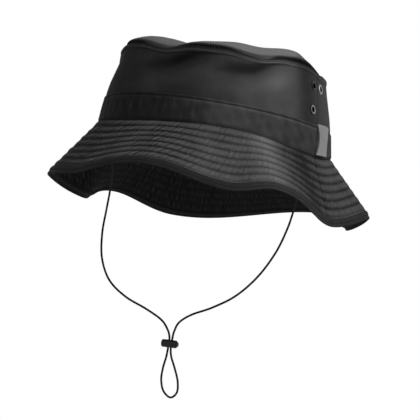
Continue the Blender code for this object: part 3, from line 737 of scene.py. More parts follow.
def brim_face(azimuth, reach):
    """A point on the face that the stitch rows lie on, reach from the crown."""
    droop = np.radians(eased(BRIM_WAVES, azimuth))[..., None]
    start = wall_point(azimuth, join_height(azimuth), 0) - UP*JOIN_GAP
    return start + (outward(azimuth)*np.cos(droop) - UP*np.sin(droop))*np.expand_dims(reach, -1)


def brim_normal(azimuth, reach):
    across = brim_face(azimuth + SMALL_TURN, reach) - brim_face(azimuth - SMALL_TURN, reach)
    along = brim_face(azimuth, reach + SMALL_STEP) - brim_face(azimuth, reach - SMALL_STEP)
    return unit(np.cross(along, across))


def brim_point(azimuth, reach, lift):
    return brim_face(azimuth, reach) + brim_normal(azimuth, reach)*np.expand_dims(lift, -1)


def quilting(azimuth, reach):
    """How full a channel is, from 0 on a row to 1 between two, the puckers that cross it, and the rows."""
    channel = np.floor(reach/ROW_PITCH)
    share = reach/ROW_PITCH - channel
    quilted = np.where(reach < QUILT_END, 1.0, 0.0)
    full = np.sin(pi*share)*quilted
    wander = 2.2*np.sin(5*azimuth + 1.7*channel) + 1.4*np.sin(13*azimuth + 2.9*channel)
    wander += 0.9*np.sin(31*azimuth + 0.8*channel)
    slant = 2*pi*eased(PUCKER_SLANT, azimuth)*share
    turn = PUCKER_COUNT*azimuth - PUCKER_CROWDING*np.sin(azimuth + pi/4)
    fold = np.sin(turn + wander + slant) + 0.6*np.sin(0.59*turn - 1.7*wander + slant)
    uneven = 0.6 + 0.6*np.sin(23*azimuth + 2.3*channel)*np.sin(59*azimuth + 1.1*channel + 2*share)
    row = hump(np.minimum(share, 1 - share), eased(ROW_SOFTNESS, azimuth))*quilted
    return full, fold*uneven*full*eased(PUCKER_PLACES, azimuth), row


def brim_reach(row):
    """Reach from the crown of a grid row, counted outwards. Grid rows lie on every stitch row."""
    quilted = np.clip(row, 0, CHANNEL_COUNT*CHANNEL_ROWS)*ROW_PITCH/CHANNEL_ROWS
    plain = np.maximum(row - CHANNEL_COUNT*CHANNEL_ROWS, 0)*(CLOTH_REACH - QUILT_REACH)/HEM_ROWS
    return quilted + plain


def upper_place(side):
    def place(across, up):
        azimuth = leaning(around(side, across), 0)
        grid_row = (1 - up)*UPPER_GRID_ROWS - TURNING_ROWS
        reach = brim_reach(grid_row)
        full, fold, row = quilting(azimuth, reach)
        lift = CHANNEL_SWELL*full + PUCKER_DEPTH*fold - side_tuck(across)
        # Painted shade along the rows, and painted light and shade on the puckers.
        fade_and_painted_light = 0.6 - eased(ROW_SHADE, azimuth)*row + 0.8*fold + 1.1*eased(BRIM_WORN_AND_LIT, azimuth)
        turning = SEAM_TURNING*np.clip(-grid_row/TURNING_ROWS, 0, 1)
        return brim_point(azimuth, reach, lift) - outward(azimuth)*turning[:, None], fade_and_painted_light
    return place


def under_place(side):
    def place(across, up):
        azimuth = leaning(around(side, across), 0)
        reach = brim_reach(up*BRIM_GRID_ROWS)
        full, fold, row = quilting(azimuth, reach)
        lift = BRIM_BACK_LIFT - CHANNEL_SWELL*full - PUCKER_DEPTH*fold + 0.4*side_tuck(across)
        # Painted shade along the rows, and painted light and shade on the puckers.
        return brim_point(azimuth, reach, lift), 0.4 - 0.5*row + 0.9*fold
    return place


def stiffener_place(across, up):
    azimuth = around("whole", across)
    return brim_point(azimuth, brim_reach((1 - up)*BRIM_GRID_ROWS), STIFFENER_LIFT), 0.0


QUILTED_TWILL = cloth_finish(
    "quilted_twill", (0.012, 0.012, 0.0125), (0.095, 0.095, 0.096), 1800, 0.45, slubs=0.45)
UNDER_TWILL = cloth_finish(
    "under_brim_twill", (0.008, 0.008, 0.0083), (0.024, 0.024, 0.0245), 1800, 0.4, roughness=0.9)
FLEECE = cloth_finish(
    "pressed_fleece", (0.08, 0.08, 0.08), (0.13, 0.13, 0.13), 600, 0.0, roughness=0.95, sheen=0.2)
for side in HALVES:
    upper = lay_cloth(f"{side}_brim_upper", upper_place(side), 700, UPPER_GRID_ROWS, BRIM_CUT, BRIM_CLOTH)
    dress(upper, QUILTED_TWILL, "quilted_cloth", f"brim_upper_{side}")
    under = lay_cloth(f"{side}_brim_under", under_place(side), 420, BRIM_GRID_ROWS, BRIM_CUT, BRIM_CLOTH)
    dress(under, UNDER_TWILL, "under_brim_cloth", f"brim_under_{side}")
stiffener = lay_cloth(
    "brim_fleece", stiffener_place, 360, BRIM_GRID_ROWS//3, STIFFENER_CUT, STIFFENER_SHEET, closed=True)
dress(stiffener, FLEECE, "stiffener_fleece", "brim_stiffener")


def brim_row(reach, lift, facing):
    azimuth = np.linspace(-pi/2, 3*pi/2, 2*ROW_POINTS)
    reaches = np.full_like(azimuth, reach)
    return brim_point(azimuth, reaches, lift), facing*brim_normal(azimuth, reaches)


for name, lift, facing, slot in (
        ("brim_stitching", THREAD_RISE, 1, "quilted_cloth"),
        ("under_brim_stitching", BRIM_BACK_LIFT - THREAD_RISE, -1, "under_brim_cloth")):
    quilt_rows = [brim_row(ROW_PITCH*(row + 1), lift, facing) for row in range(CHANNEL_COUNT)]
    dress(sew(name, quilt_rows), DARK_THREAD, slot)

# Brim binding: a woven tape folded over the brim's edge, thick where the layers end inside its fold and
# pressed thin beyond them. It is sewn through with three rows of dark thread, with shade painted along
# them and on the tape's lower face.
HEM_WIDTH = 0.0062
HEM_NOSE = 0.0012
BINDING_CLOTH = 0.0005
BINDING_EASE = 0.0001         # between the tape and the brim's cloths
BINDING_CUT = (0.93, 0.0140)
BINDING_TOP = BINDING_CLOTH + BINDING_EASE
BINDING_BOTTOM = BRIM_BACK_LIFT - BINDING_CLOTH - BINDING_EASE
BINDING_START = BRIM_SLANT - HEM_WIDTH
BINDING_BEND = BRIM_SLANT - HEM_NOSE
BINDING_ROWS = (0.0005, 0.0019, 0.0033)   # from the tape's upper edge
BINDING_ROW_SPREAD = 0.0003
BINDING_ROW_SINK = 0.00022
PALE_WIDTH = 0.0032           # the tape is paler as far as its third row
PALE_EDGE = 0.0012
HEM_THREAD_SINK = 0.0001
BINDING_WORN_AND_LIT = (              # degrees round the hat, how faded the tape's upper half is there, with painted light: palest on the key light's side
    (-60, 0.0), (0, 0.0), (22, -0.2), (48, 1.0), (70, 0.5), (95, 0.5), (180, 0.3),
)
LEG_SHARE = 0.42              # share of the tape's width on each face of the brim
THIN_START = CLOTH_REACH - 0.0004         # the tape is pressed thin where nothing lies in its fold
THIN_WIDTH = 0.0026
THIN_TOP = 0.0009
THIN_BOTTOM = 0.0018


def binding_faces(reach):
    """How high the tape's upper and lower face lie at a reach from the crown."""
    thinned = smooth((reach - THIN_START)/THIN_WIDTH)
    return BINDING_TOP - THIN_TOP*thinned, BINDING_BOTTOM + THIN_BOTTOM*thinned


def binding_place(across, up):
    """From the lower edge out to the fold and back in along the top."""
    azimuth = around("whole", across)
    side = np.where(up < 0.5, -1.0, 1.0)
    leg = np.minimum(np.minimum(up, 1 - up)/LEG_SHARE, 1)
    turn = np.clip((up - LEG_SHARE)/(1 - 2*LEG_SHARE), 0, 1)*pi - pi/2
    reach = BINDING_START + (BINDING_BEND - BINDING_START)*leg
    upper, lower = binding_faces(reach)
    middle = (upper + lower)/2
    half = (upper - lower)/2
    sewn = sum(hump(reach - BINDING_START - row, BINDING_ROW_SPREAD) for row in BINDING_ROWS)
    between = 1 - smooth((reach - BINDING_START - PALE_WIDTH)/PALE_EDGE)
    in_fold = leg >= 1
    lift = np.where(in_fold, middle + half*np.sin(turn), middle + side*(half - BINDING_ROW_SINK*sewn))
    reach = np.where(in_fold, BINDING_BEND + HEM_NOSE*np.cos(turn), reach)
    # Painted shade along the stitch rows. The lower half is painted darker than its dye, in shade.
    fade_and_painted_light = np.where(in_fold, 0.3*np.cos(turn), 0.2 + 0.9*between - 2.0*sewn)
    return brim_point(azimuth, reach, lift), fade_and_painted_light + np.where(up < 0.5, -0.4, eased(BINDING_WORN_AND_LIT, azimuth))


BINDING_TAPE = cloth_finish("binding_tape", (0.012, 0.012, 0.0125), (0.034, 0.034, 0.035), 2200, 0.6)
binding = lay_cloth("edge_binding", binding_place, 560, 56, BINDING_CUT, BINDING_CLOTH, closed=True)
dress(binding, BINDING_TAPE, "binding_tape", "brim_binding")
hem_rows = []
for face, facing in ((0, 1), (1, -1)):
    for row in BINDING_ROWS:
        lift = binding_faces(BINDING_START + row)[face] - facing*HEM_THREAD_SINK
        hem_rows.append(brim_row(BINDING_START + row, lift, facing))
dress(sew("hem_stitching", hem_rows), DARK_THREAD, "binding_tape")

# Lining and sweatband: thin smooth lining up the wall and over the crown, and a twill tape round the head,
# sewn with a row near its lower and its upper edge. Only the dark inside of the hat shows them.
LINING_CLOTH = 0.0006
LINING_OFFSET = -(PANEL_CLOTH + SEWING_GAP)
LINING_WAVE = 0.0004          # the side lining stands off the wall in soft waves of this height
LINING_SLACK = 0.0025
LINING_PINCH = 0.8
SIDE_LINING_CUT = (0.54, 0.058)
TOP_LINING_CUT = (0.178, 0.204)
SWEATBAND_CLOTH = 0.0010
SWEATBAND_OFFSET = LINING_OFFSET - LINING_CLOTH - SEWING_GAP
SWEATBAND_FACE = SWEATBAND_OFFSET - SWEATBAND_CLOTH
SWEATBAND_HEIGHT = 0.02508
SWEATBAND_CUT = (0.57, 0.027)
LOWER_EDGE_RAISE = 0.0010
LOWER_ROW = 0.002             # the sweatband's rows, from its lower and its upper edge
UPPER_ROW = 0.0015
SWEATBAND_ROW_SPREAD = 0.0006


def lower_edge(azimuth):
    return join_height(azimuth) + LOWER_EDGE_RAISE


def inner_strip(upper, shape):
    """Places cloth on the inside of the crown wall, its face towards the head."""
    def place(across, up):
        azimuth = around("whole", 1 - across)
        low = lower_edge(azimuth)
        height = low + (upper(azimuth) - low)*up
        offset, fade_and_painted_light = shape(azimuth, height)
        return wall_point(azimuth, height, offset), fade_and_painted_light
    return place


def lining_shape(azimuth, height):
    slack = LINING_WAVE*np.sin(18*azimuth)*np.sin(pi*np.clip(height/CROWN_HEIGHT, 0, 1))
    return LINING_OFFSET - LINING_CLOTH - LINING_WAVE + slack, 0.0


def sweatband_shape(azimuth, height):
    sewn = hump(height - lower_edge(azimuth) - LOWER_ROW, SWEATBAND_ROW_SPREAD)
    sewn = sewn + hump(SWEATBAND_HEIGHT - height - UPPER_ROW, SWEATBAND_ROW_SPREAD)
    # Shade is painted along its two rows.
    return SWEATBAND_FACE + SEWN_SINK*sewn, -0.3*sewn


def lining_top_place(across, up):
    azimuth = around("whole", 1 - across)
    rim = wall_point(azimuth, seam_height(azimuth), SWEATBAND_OFFSET)
    turn = pi/2*up**2
    width, rise = dome(turn)
    rise = rise*(1 - LINING_PINCH*top_valleys(azimuth, width)[1]*width)
    spot = TOP_MIDDLE + (rim - TOP_MIDDLE)*width[:, None]
    spot[:, 2] = rim[:, 2] + (TOP_HEIGHT - LINING_SLACK - rim[:, 2])*rise - LINING_CLOTH*np.sin(turn)
    return spot, 0.0


LINING_SATIN = cloth_finish(
    "lining_satin", (0.005, 0.005, 0.0052), (0.012, 0.012, 0.0125), 3200, 0.3, roughness=0.7)
SWEATBAND_TWILL = cloth_finish("sweatband_twill", (0.006, 0.006, 0.0063), (0.016, 0.016, 0.0165), 1500, 0.4)
place = inner_strip(seam_height, lining_shape)
lining_side = lay_cloth("side_lining", place, 320, 30, SIDE_LINING_CUT, LINING_CLOTH, closed=True)
dress(lining_side, LINING_SATIN, "lining_fabric", "lining_side")
lining_top = lay_cloth("top_lining", lining_top_place, 240, 24, TOP_LINING_CUT, LINING_CLOTH, closed=True)
dress(lining_top, LINING_SATIN, "lining_fabric", "lining_top")
place = inner_strip(level(SWEATBAND_HEIGHT), sweatband_shape)
sweatband = lay_cloth("head_band", place, 320, 24, SWEATBAND_CUT, SWEATBAND_CLOTH, closed=True)
dress(sweatband, SWEATBAND_TWILL, "sweatband_twill", "sweatband")
sweatband_rows = [
    wall_row(lambda azimuth: lower_edge(azimuth) + LOWER_ROW, SWEATBAND_FACE),
    wall_row(level(SWEATBAND_HEIGHT - UPPER_ROW), SWEATBAND_FACE),
]
sweatband_stitching = sew("sweatband_stitching", [(line, -facing) for line, facing in sweatband_rows])
dress(sweatband_stitching, DARK_THREAD, "sweatband_twill")

# Eyelets: three pressed metal eyelets a side for air, each a rolled rim on the cloth with a barrel through
# the panel and the lining, clinched over a flat washer inside. Only its crest is bright nickel. The rest is
# near-black metal, painted shade for its dark bore and the dark ring round the crest. The upper front
# one's crest is a darker nickel.
EYELET_PLACES = {             # azimuth and height
    "upper_front": (radians(84.2), 0.0498),
    "upper_back": (radians(92.7), 0.0498),
    "lower": (radians(81.2), 0.0310),
}
HANDS = {"left": 1, "right": -1}
EYELET_RADIUS = 0.0040
EYELET_BORE = 0.0020
EYELET_WALL = 0.0004
EYELET_SHEET = EYELET_WALL*0.6            # the pressed metal, a little thinner than the room for it
EYELET_CROWN = 0.0007
CREST_START = 0.0023          # the bright crest of the rim, from the eyelet's middle. The rest is painted shade
CREST_ENDS = {"upper_front": 0.0034, "upper_back": 0.0039, "lower": 0.0034}
CREST_HEIGHT = 0.0002
FLARE_DEPTH = 0.0002          # the barrel's end is flared out over this
FLARE = 1.3
WASHER_RADIUS = 0.0036
WASHER_SHEET = 0.0005
WASHER_EDGE = 0.00012
HOLE_RADIUS = EYELET_BORE + EYELET_WALL + SEWING_GAP
HOLE_DEPTH = 0.010
BARREL_END = SWEATBAND_OFFSET - WASHER_SHEET - SEWING_GAP


def edit_selected(piece, wanted, kind):
    """Goes into edit mode with the wanted corners, edges or faces of a piece selected."""
    bpy.ops.object.mode_set(mode="EDIT")
    bpy.ops.mesh.select_mode(type=kind)
    bpy.ops.mesh.select_all(action="DESELECT")
    bpy.ops.object.mode_set(mode="OBJECT")
    parts = {"VERT": piece.data.vertices, "EDGE": piece.data.edges, "FACE": piece.data.polygons}[kind]
    for part in parts:
        part.select = wanted(part)
    bpy.ops.object.mode_set(mode="EDIT")


def make_eyelet():
    middle = (EYELET_RADIUS + EYELET_BORE)/2
    half = (EYELET_RADIUS - EYELET_BORE)/2
    eyelet = start_piece(
        "eyelet", "primitive_torus_add", major_radius=middle, minor_radius=half,
        major_segments=48, minor_segments=20)
    bpy.ops.object.mode_set(mode="EDIT")
    bpy.ops.mesh.select_all(action="SELECT")
    bpy.ops.transform.resize(value=(1, 1, EYELET_CROWN/half))
    bpy.ops.mesh.bisect(plane_co=(0, 0, 0), plane_no=(0, 0, 1), clear_inner=True)
    bpy.ops.object.mode_set(mode="OBJECT")

    def at_bore(vertex):
        return abs(vertex.co.z) < 0.00002 and vertex.co.xy.length < middle
    edit_selected(eyelet, at_bore, "VERT")
    bpy.ops.mesh.extrude_region_move(TRANSFORM_OT_translate={"value": (0, 0, BARREL_END)})
    bpy.ops.mesh.extrude_region_move(TRANSFORM_OT_translate={"value": (0, 0, -FLARE_DEPTH)})
    bpy.ops.transform.resize(value=(FLARE, FLARE, 1))
    bpy.ops.object.mode_set(mode="OBJECT")
    apply_modifier(eyelet, "SOLIDIFY", thickness=EYELET_SHEET, offset=-1)
    round_off(eyelet, 60)
    return eyelet


def make_washer():
    washer = start_piece(
        "washer", "primitive_cylinder_add", vertices=48, radius=WASHER_RADIUS, depth=WASHER_SHEET,
        end_fill_type="NOTHING", location=(0, 0, SWEATBAND_OFFSET - WASHER_SHEET/2))
    apply_modifier(washer, "SOLIDIFY", thickness=WASHER_RADIUS - HOLE_RADIUS, offset=-1)
    apply_modifier(washer, "BEVEL", width=WASHER_EDGE, segments=2)
    round_off(washer, 40)
    return washer


def metal_finish(name, bright, dull, dull_share, roughness):
    """Pressed metal, dulled in patches and finely scuffed."""
    material, tree, shader = new_finish(name)
    patches = spread_out(tree, mottling(tree, 420.0, 3.0), 0.70 - dull_share, 0.95 - dull_share)
    scuffs = mottling(tree, 2600.0, 2.0)
    feed(tree, shader, {
        "Base Color": mix_colours(tree, patches, bright, dull),
        "Roughness": work_out(tree, "MULTIPLY_ADD", scuffs, 0.2, roughness - 0.1),
        "Normal": relief(tree, scuffs, 0.00002), "Metallic": 1.0})
    return material


def on_wall(azimuth, height):
    """Stands a piece on the crown wall, its own Z pointing out of the hat."""
    facing = Vector(wall_normal(azimuth, height))
    turn = facing.to_track_quat("Z", "Y").to_matrix().to_4x4()
    return Matrix.Translation(Vector(wall_point(azimuth, height, 0))) @ turn


def copy_piece(pattern, name, place):
    """A copy with its own mesh, set in its place."""
    mesh = pattern.data.copy()
    mesh.name = name
    mesh.transform(place)
    return add_object(name, mesh)


def cut_out(piece, cutter):
    apply_modifier(piece, "BOOLEAN", operation="DIFFERENCE", object=cutter, solver="EXACT")


SATIN_NICKEL = metal_finish("satin_nickel", (0.24, 0.24, 0.245), (0.10, 0.10, 0.105), 0.05, 0.42)
# Near-black nickel, painted shade for the eyelets' bores and the ring round their crests.
PAINTED_SHADE_NICKEL = metal_finish("painted_shade_nickel", (0.014, 0.014, 0.0145), (0.005, 0.005, 0.0055), 0.4, 0.5)
DARKER_NICKEL = metal_finish("darker_nickel", (0.13, 0.13, 0.135), (0.02, 0.02, 0.021), 0.5, 0.42)
eyelet_pattern = make_eyelet()
washer_pattern = make_washer()
hole_pattern = start_piece(
    "eyelet_hole", "primitive_cylinder_add", vertices=32, radius=HOLE_RADIUS, depth=HOLE_DEPTH)
holes = {"front": [], "back": []}
for hand, turn in HANDS.items():
    for spot, (azimuth, height) in EYELET_PLACES.items():
        place = on_wall(turn*azimuth, height)
        crest = DARKER_NICKEL if spot == "upper_front" else SATIN_NICKEL
        eyelet = copy_piece(eyelet_pattern, f"{hand}_{spot}_eyelet", place)
        dress(eyelet, crest, "eyelet_metal", f"eyelet_{hand}_{spot}")
        eyelet.data.materials.append(PAINTED_SHADE_NICKEL)
        for face, pattern in zip(eyelet.data.polygons, eyelet_pattern.data.polygons):
            on_rim = CREST_START < pattern.center.xy.length < CREST_ENDS[spot]
            face.material_index = 0 if on_rim and pattern.center.z > CREST_HEIGHT else 1
        washer = copy_piece(washer_pattern, f"{hand}_{spot}_washer", place)
        dress(washer, SATIN_NICKEL, "eyelet_metal", f"washer_{hand}_{spot}")
        hole = copy_piece(hole_pattern, f"{hand}_{spot}_hole", place)
        holes["front" if azimuth < pi/2 else "back"].append(hole)
for side, cutters in holes.items():
    for cutter in cutters:
        cut_out(panels[side], cutter)
        cut_out(lining_side, cutter)
        bpy.data.objects.remove(cutter, do_unlink=True)
for pattern in (eyelet_pattern, washer_pattern, hole_pattern):
    bpy.data.objects.remove(pattern, do_unlink=True)

# Side tag: a short pale tape folded double and caught in the left side seam, over the hat band.
# It is bare, bulges a little, and its seam edge leans and bows.
TAG_START = radians(90.4)
TAG_LEAN = radians(2.2)       # its seam edge leans forward by this from bottom to top
TAG_TURN = 0.018/CROWN_HALF_LENGTH
TAG_CUT = (0.037, 0.021)
TAG_CLOTH = 0.0008
TAG_LAYER = 0.0003
TAG_RAISE = 0.0010
TAG_OVERLAP = 0.0012
TAG_BULGE = 0.0016
TAG_PRESSED = 0.0006          # it is pressed down by this at the seam
TAG_BOW = radians(2.6)        # its seam edge bows in by this at mid-height
TAG_STAND = BAND_OFFSET + SEWING_GAP + TAG_CLOTH
TAG_LEG = 0.47                # share of the tape in each of its two layers
TAG_EDGE = 0.04               # share of its height that each pale edge takes


def tag_place(across, up):
    leg = np.minimum(np.minimum(across, 1 - across)/TAG_LEG, 1)
    turn = np.clip((across - TAG_LEG)/(1 - 2*TAG_LEG), 0, 1)*pi
    start = TAG_START - TAG_LEAN*up + TAG_BOW*np.sin(pi*up)
    azimuth = leaning(start + (TAG_START + TAG_TURN - start)*leg, up*BAND_SHARE)
    half = TAG_CLOTH/2
    stand = TAG_STAND + TAG_BULGE*np.sin(pi*leg) - TAG_PRESSED*(1 - leg) - half + half*np.cos(turn)
    azimuth = azimuth + half*np.sin(turn)/CROWN_HALF_LENGTH
    low = join_height(azimuth) + TAG_RAISE
    height = low + (BAND_HEIGHT + TAG_OVERLAP - low)*up
    edge = hump(up, TAG_EDGE) + hump(1 - up, TAG_EDGE)
    return wall_point(azimuth, height, stand), 0.4*edge


PALE_TAPE = cloth_finish(
    "pale_tape", (0.20, 0.20, 0.20), (0.34, 0.34, 0.34), 1600, 0.5, roughness=0.75, sheen=0.1)
tag = lay_cloth("seam_tag", tag_place, 60, 24, TAG_CUT, TAG_LAYER)
dress(tag, PALE_TAPE, "tag_tape", "side_tag")

# Cord tabs: two small tabs of the sweatband's twill, one a side, sewn to its inside over the cord's ends.
# Each is a tape folded double at its lower edge.
TAB_AZIMUTH = radians(85)
TAB_TURN = 0.008/CROWN_HALF_LENGTH
TAB_BOTTOM = 0.0048
TAB_HEIGHT = 0.010
TAB_CUT = (0.010, 0.020)
TAB_CLOTH = 0.0010
TAB_LAYER = TAB_CLOTH*0.4     # each of its two layers
TAB_OFFSET = SWEATBAND_FACE - SEWING_GAP
TAB_LEG = 0.45                # share of the tape in each of its two layers
TAB_FOLD = 0.1                # and in the fold between them
TAB_NOSE = 0.0003


def tab_place(middle):
    """Up inside, and down again against the sweatband."""
    def place(across, up):
        azimuth = middle + TAB_TURN*(0.5 - across)
        leg = np.minimum(np.minimum(up, 1 - up)/TAB_LEG, 1)
        turn = np.clip((up - TAB_LEG)/TAB_FOLD, 0, 1)*pi
        height = TAB_BOTTOM + TAB_HEIGHT*(1 - leg) - TAB_NOSE*np.sin(turn) + TAB_NOSE
        stand = TAB_OFFSET - TAB_CLOTH/2 + TAB_CLOTH/2*np.cos(turn)
        return wall_point(azimuth, height, stand), 0.0
    return place


for hand, turn in HANDS.items():
    tab = lay_cloth(f"{hand}_cord_tab", tab_place(turn*TAB_AZIMUTH), 16, 32, TAB_CUT, TAB_LAYER)
    dress(tab, SWEATBAND_TWILL, "sweatband_twill", f"cord_tab_{hand}")

# Chin cord: one length of tight round braid from tab to tab, drawn together by the lock with a loop
# below it. It hangs limp, and its ends are sewn in under the tabs.
CORD_DIAMETER = 0.0016
CORD_RINGS = 400
CORD_SIDES = 12
BRAID_SLANT = radians(40)
BRAID_SCALE = (280, 280, 1)
LIT_END_SPAN = (0.055, 0.075)     # the braid turns from painted light to black between these, from its ends
CORD_ROUTE = (                # the wearer's left half, from its tab to the loop's lowest point
    (0.0828, -0.0087, 0.0033), (0.0823, -0.0088, -0.0080), (0.0804, -0.0091, -0.0200),
    (0.0782, -0.0096, -0.0320), (0.0771, -0.0112, -0.0460), (0.0757, -0.0150, -0.0610),
    (0.0724, -0.0225, -0.0800), (0.0648, -0.0315, -0.1000), (0.0525, -0.0380, -0.1165),
    (0.0360, -0.0400, -0.1275), (0.0190, -0.0370, -0.1345), (0.0074, -0.0315, -0.1410),
    (0.0026, -0.0275, -0.1480), (0.0012, -0.0257, -0.1535), (0.0012, -0.0257, -0.1576),
    (0.0012, -0.0257, -0.1617), (0.0021, -0.0243, -0.1675), (0.0050, -0.0208, -0.1760),
    (0.0069, -0.0165, -0.1850), (0.0056, -0.0124, -0.1930), (0, -0.0105, -0.1972),
)


def smooth_route(route, count):
    """Evenly spaced points on a smooth curve through the route, and its length."""
    padded = np.concatenate(([2*route[0] - route[1]], route, [2*route[-1] - route[-2]]))
    share = np.linspace(0, 1, 24, endpoint=False)[:, None]
    fine = []
    for before, start, end, after in zip(padded, padded[1:], padded[2:], padded[3:]):
        curve = 2*start + (end - before)*share + (2*before - 5*start + 4*end - after)*share**2
        fine.append((curve + (3*start - before - 3*end + after)*share**3)/2)
    fine = np.concatenate(fine + [route[-1:]])
    lengths = lengths_along(fine)
    return at_marks(np.linspace(0, lengths[-1], count), lengths, fine), lengths[-1]


left_half = np.array(CORD_ROUTE)
cord_path, cord_length = smooth_route(
    np.concatenate((left_half, left_half[-2::-1]*(-1, 1, 1))), CORD_RINGS + 1)


def cord_place(across, up):
    """A tube along the path, its rings turned as little as the path lets them."""
    ahead = unit(np.gradient(cord_path, axis=0))
    aside = np.zeros_like(ahead)
    last = np.array((0.0, 1.0, 0.0))
    for ring, direction in enumerate(ahead):
        last = last - direction*np.dot(last, direction)
        last = last/np.linalg.norm(last)
        aside[ring] = last
    other = np.cross(ahead, aside)
    ring = np.round(across*CORD_RINGS).astype(int)
    angle = (2*pi*up)[:, None]
    return cord_path[ring] + (aside[ring]*np.cos(angle) - other[ring]*np.sin(angle))*CORD_DIAMETER/2, 0.0


def braid_finish():
    """Tight black braid: two sets of strands crossing on a slant, with painted light near its ends."""
    material, tree, shader = new_finish("black_braid")
    cut = add_node(tree, "ShaderNodeUVMap", {}).outputs["UV"]
    strands = []
    for slant in (BRAID_SLANT, -BRAID_SLANT):
        turning = {"Vector": cut, "Rotation": (0, 0, slant), "Scale": BRAID_SCALE}
        strands.append(bands(tree, add_node(tree, "ShaderNodeMapping", turning).outputs["Vector"]))
    braid = work_out(tree, "MAXIMUM", *strands)
    black = mix_colours(tree, braid, (0.010, 0.010, 0.0105), (0.020, 0.020, 0.021))
    # Painted light: the braid is painted paler near its ends.
    painted_light = mix_colours(tree, braid, (0.035, 0.035, 0.036), (0.065, 0.065, 0.066))
    along = add_node(tree, "ShaderNodeSeparateXYZ", {"Vector": cut}).outputs["X"]
    from_end = work_out(tree, "MINIMUM", along, work_out(tree, "SUBTRACT", cord_length, along))
    feed(tree, shader, {
        "Base Color": mix_colours(tree, spread_out(tree, from_end, *LIT_END_SPAN), painted_light, black),
        "Normal": relief(tree, braid, 0.00004), "Roughness": 0.8, "Specular IOR Level": 0.05})
    return material


cord = lay_grid(
    "braided_cord", cord_place, CORD_RINGS, CORD_SIDES, (cord_length, pi*CORD_DIAMETER), closed=True)
bpy.ops.object.mode_set(mode="EDIT")
bpy.ops.mesh.select_all(action="SELECT")
bpy.ops.mesh.fill_holes(sides=CORD_SIDES + 2)
bpy.ops.object.mode_set(mode="OBJECT")
round_off(cord, 60)
cord.data.materials.append(braid_finish())
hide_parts("chin_cord")
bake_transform(cord)

# Cord lock: a moulded black barrel across the two strands, with a spring-loaded plunger whose button stands
# out of its left end. Both are slotted for the strands; the spring lies hidden behind the plunger.
LOCK_PLACE = Vector((0, -0.0257, -0.1576))
LOCK_RADIUS = 0.0030
LOCK_WALL = 0.0009
LOCK_HALF_LENGTH = 0.0065
BUTTON_STAND = 0.0012
LOCK_MOUTH = LOCK_HALF_LENGTH - BUTTON_STAND
LOCK_EDGE = 0.0007
SLOT_REACH = 0.0022
SLOT_DEPTH = 0.0011
PRESS_TRAVEL = 0.0010
PLUNGER_RADIUS = LOCK_RADIUS - LOCK_WALL - SEWING_GAP
PLUNGER_START = -SLOT_REACH - 0.0007
ROUND_STEPS = 64


def make_rod(name, start, end, radius, edge):
    """A rod along the lock's axis with rounded ends."""
    rod = start_piece(
        name, "primitive_cylinder_add", vertices=ROUND_STEPS, radius=radius, depth=end - start,
        location=LOCK_PLACE + Vector(((start + end)/2, 0, 0)), rotation=(0, pi/2, 0))

    def at_end(part):
        x = [rod.data.vertices[corner].co.x - LOCK_PLACE.x for corner in part.vertices]
        return max(x) - min(x) < 0.00001
    edit_selected(rod, at_end, "EDGE")
    bpy.ops.mesh.bevel(offset=edge, segments=5, affect="EDGES")
    bpy.ops.object.mode_set(mode="OBJECT")
    return rod


def cut_slot(rod, start, end):
    """Cuts a slot with rounded ends through a rod, for the strands."""
    cutter = start_piece(
        "slot", "primitive_cube_add", size=1, scale=(end - start, 2*SLOT_DEPTH, 4*LOCK_RADIUS),
        location=LOCK_PLACE + Vector(((start + end)/2, 0, 0)))

    def upright_edge(part):
        ends = [cutter.data.vertices[corner].co for corner in part.vertices]
        return abs(ends[0].z - ends[1].z) > LOCK_RADIUS
    edit_selected(cutter, upright_edge, "EDGE")
    bpy.ops.mesh.bevel(offset=0.9*SLOT_DEPTH, segments=6, affect="EDGES")
    bpy.ops.object.mode_set(mode="OBJECT")
    cut_out(rod, cutter)
    bpy.data.objects.remove(cutter, do_unlink=True)


def plastic_finish():
    """Moulded black plastic with a faint spark-eroded grain and scuffs."""
    material, tree, shader = new_finish("moulded_black")
    scuffs = spread_out(tree, mottling(tree, 500.0, 4.0), 0.45, 0.75)
    feed(tree, shader, {
        "Base Color": mix_colours(tree, scuffs, (0.005, 0.005, 0.0055), (0.016, 0.016, 0.017)),
        "Roughness": work_out(tree, "MULTIPLY_ADD", scuffs, 0.15, 0.40),
        "Normal": relief(tree, mottling(tree, 3500.0, 2.0), 0.00002), "Specular IOR Level": 0.2})
    return material


MOULDED_BLACK = plastic_finish()
barrel = make_rod("lock_barrel", -LOCK_HALF_LENGTH, LOCK_MOUTH, LOCK_RADIUS, LOCK_EDGE)
edit_selected(barrel, lambda face: face.normal.x > 0.99, "FACE")
bpy.ops.mesh.inset(thickness=LOCK_WALL - LOCK_EDGE)
bpy.ops.mesh.extrude_region_move(
    TRANSFORM_OT_translate={"value": (LOCK_WALL - LOCK_HALF_LENGTH - LOCK_MOUTH, 0, 0)})
bpy.ops.object.mode_set(mode="OBJECT")
cut_slot(barrel, -SLOT_REACH, SLOT_REACH)
plunger = make_rod("lock_button", PLUNGER_START, LOCK_HALF_LENGTH, PLUNGER_RADIUS, LOCK_EDGE/2)
cut_slot(plunger, -SLOT_REACH, SLOT_REACH + PRESS_TRAVEL)
for piece, body, node in ((barrel, "cord_lock", "lock_body"), (plunger, "lock_button", "lock_plunger")):
    round_off(piece, 35)
    dress(piece, MOULDED_BLACK, "lock_plastic", node, body=body)
SPRING_STEEL = metal_finish("spring_steel", (0.48, 0.48, 0.49), (0.25, 0.25, 0.26), 0.2, 0.35)
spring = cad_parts["lock_spring"]
for place in spring.material_slots:
    place.material = SPRING_STEEL
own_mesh(spring)

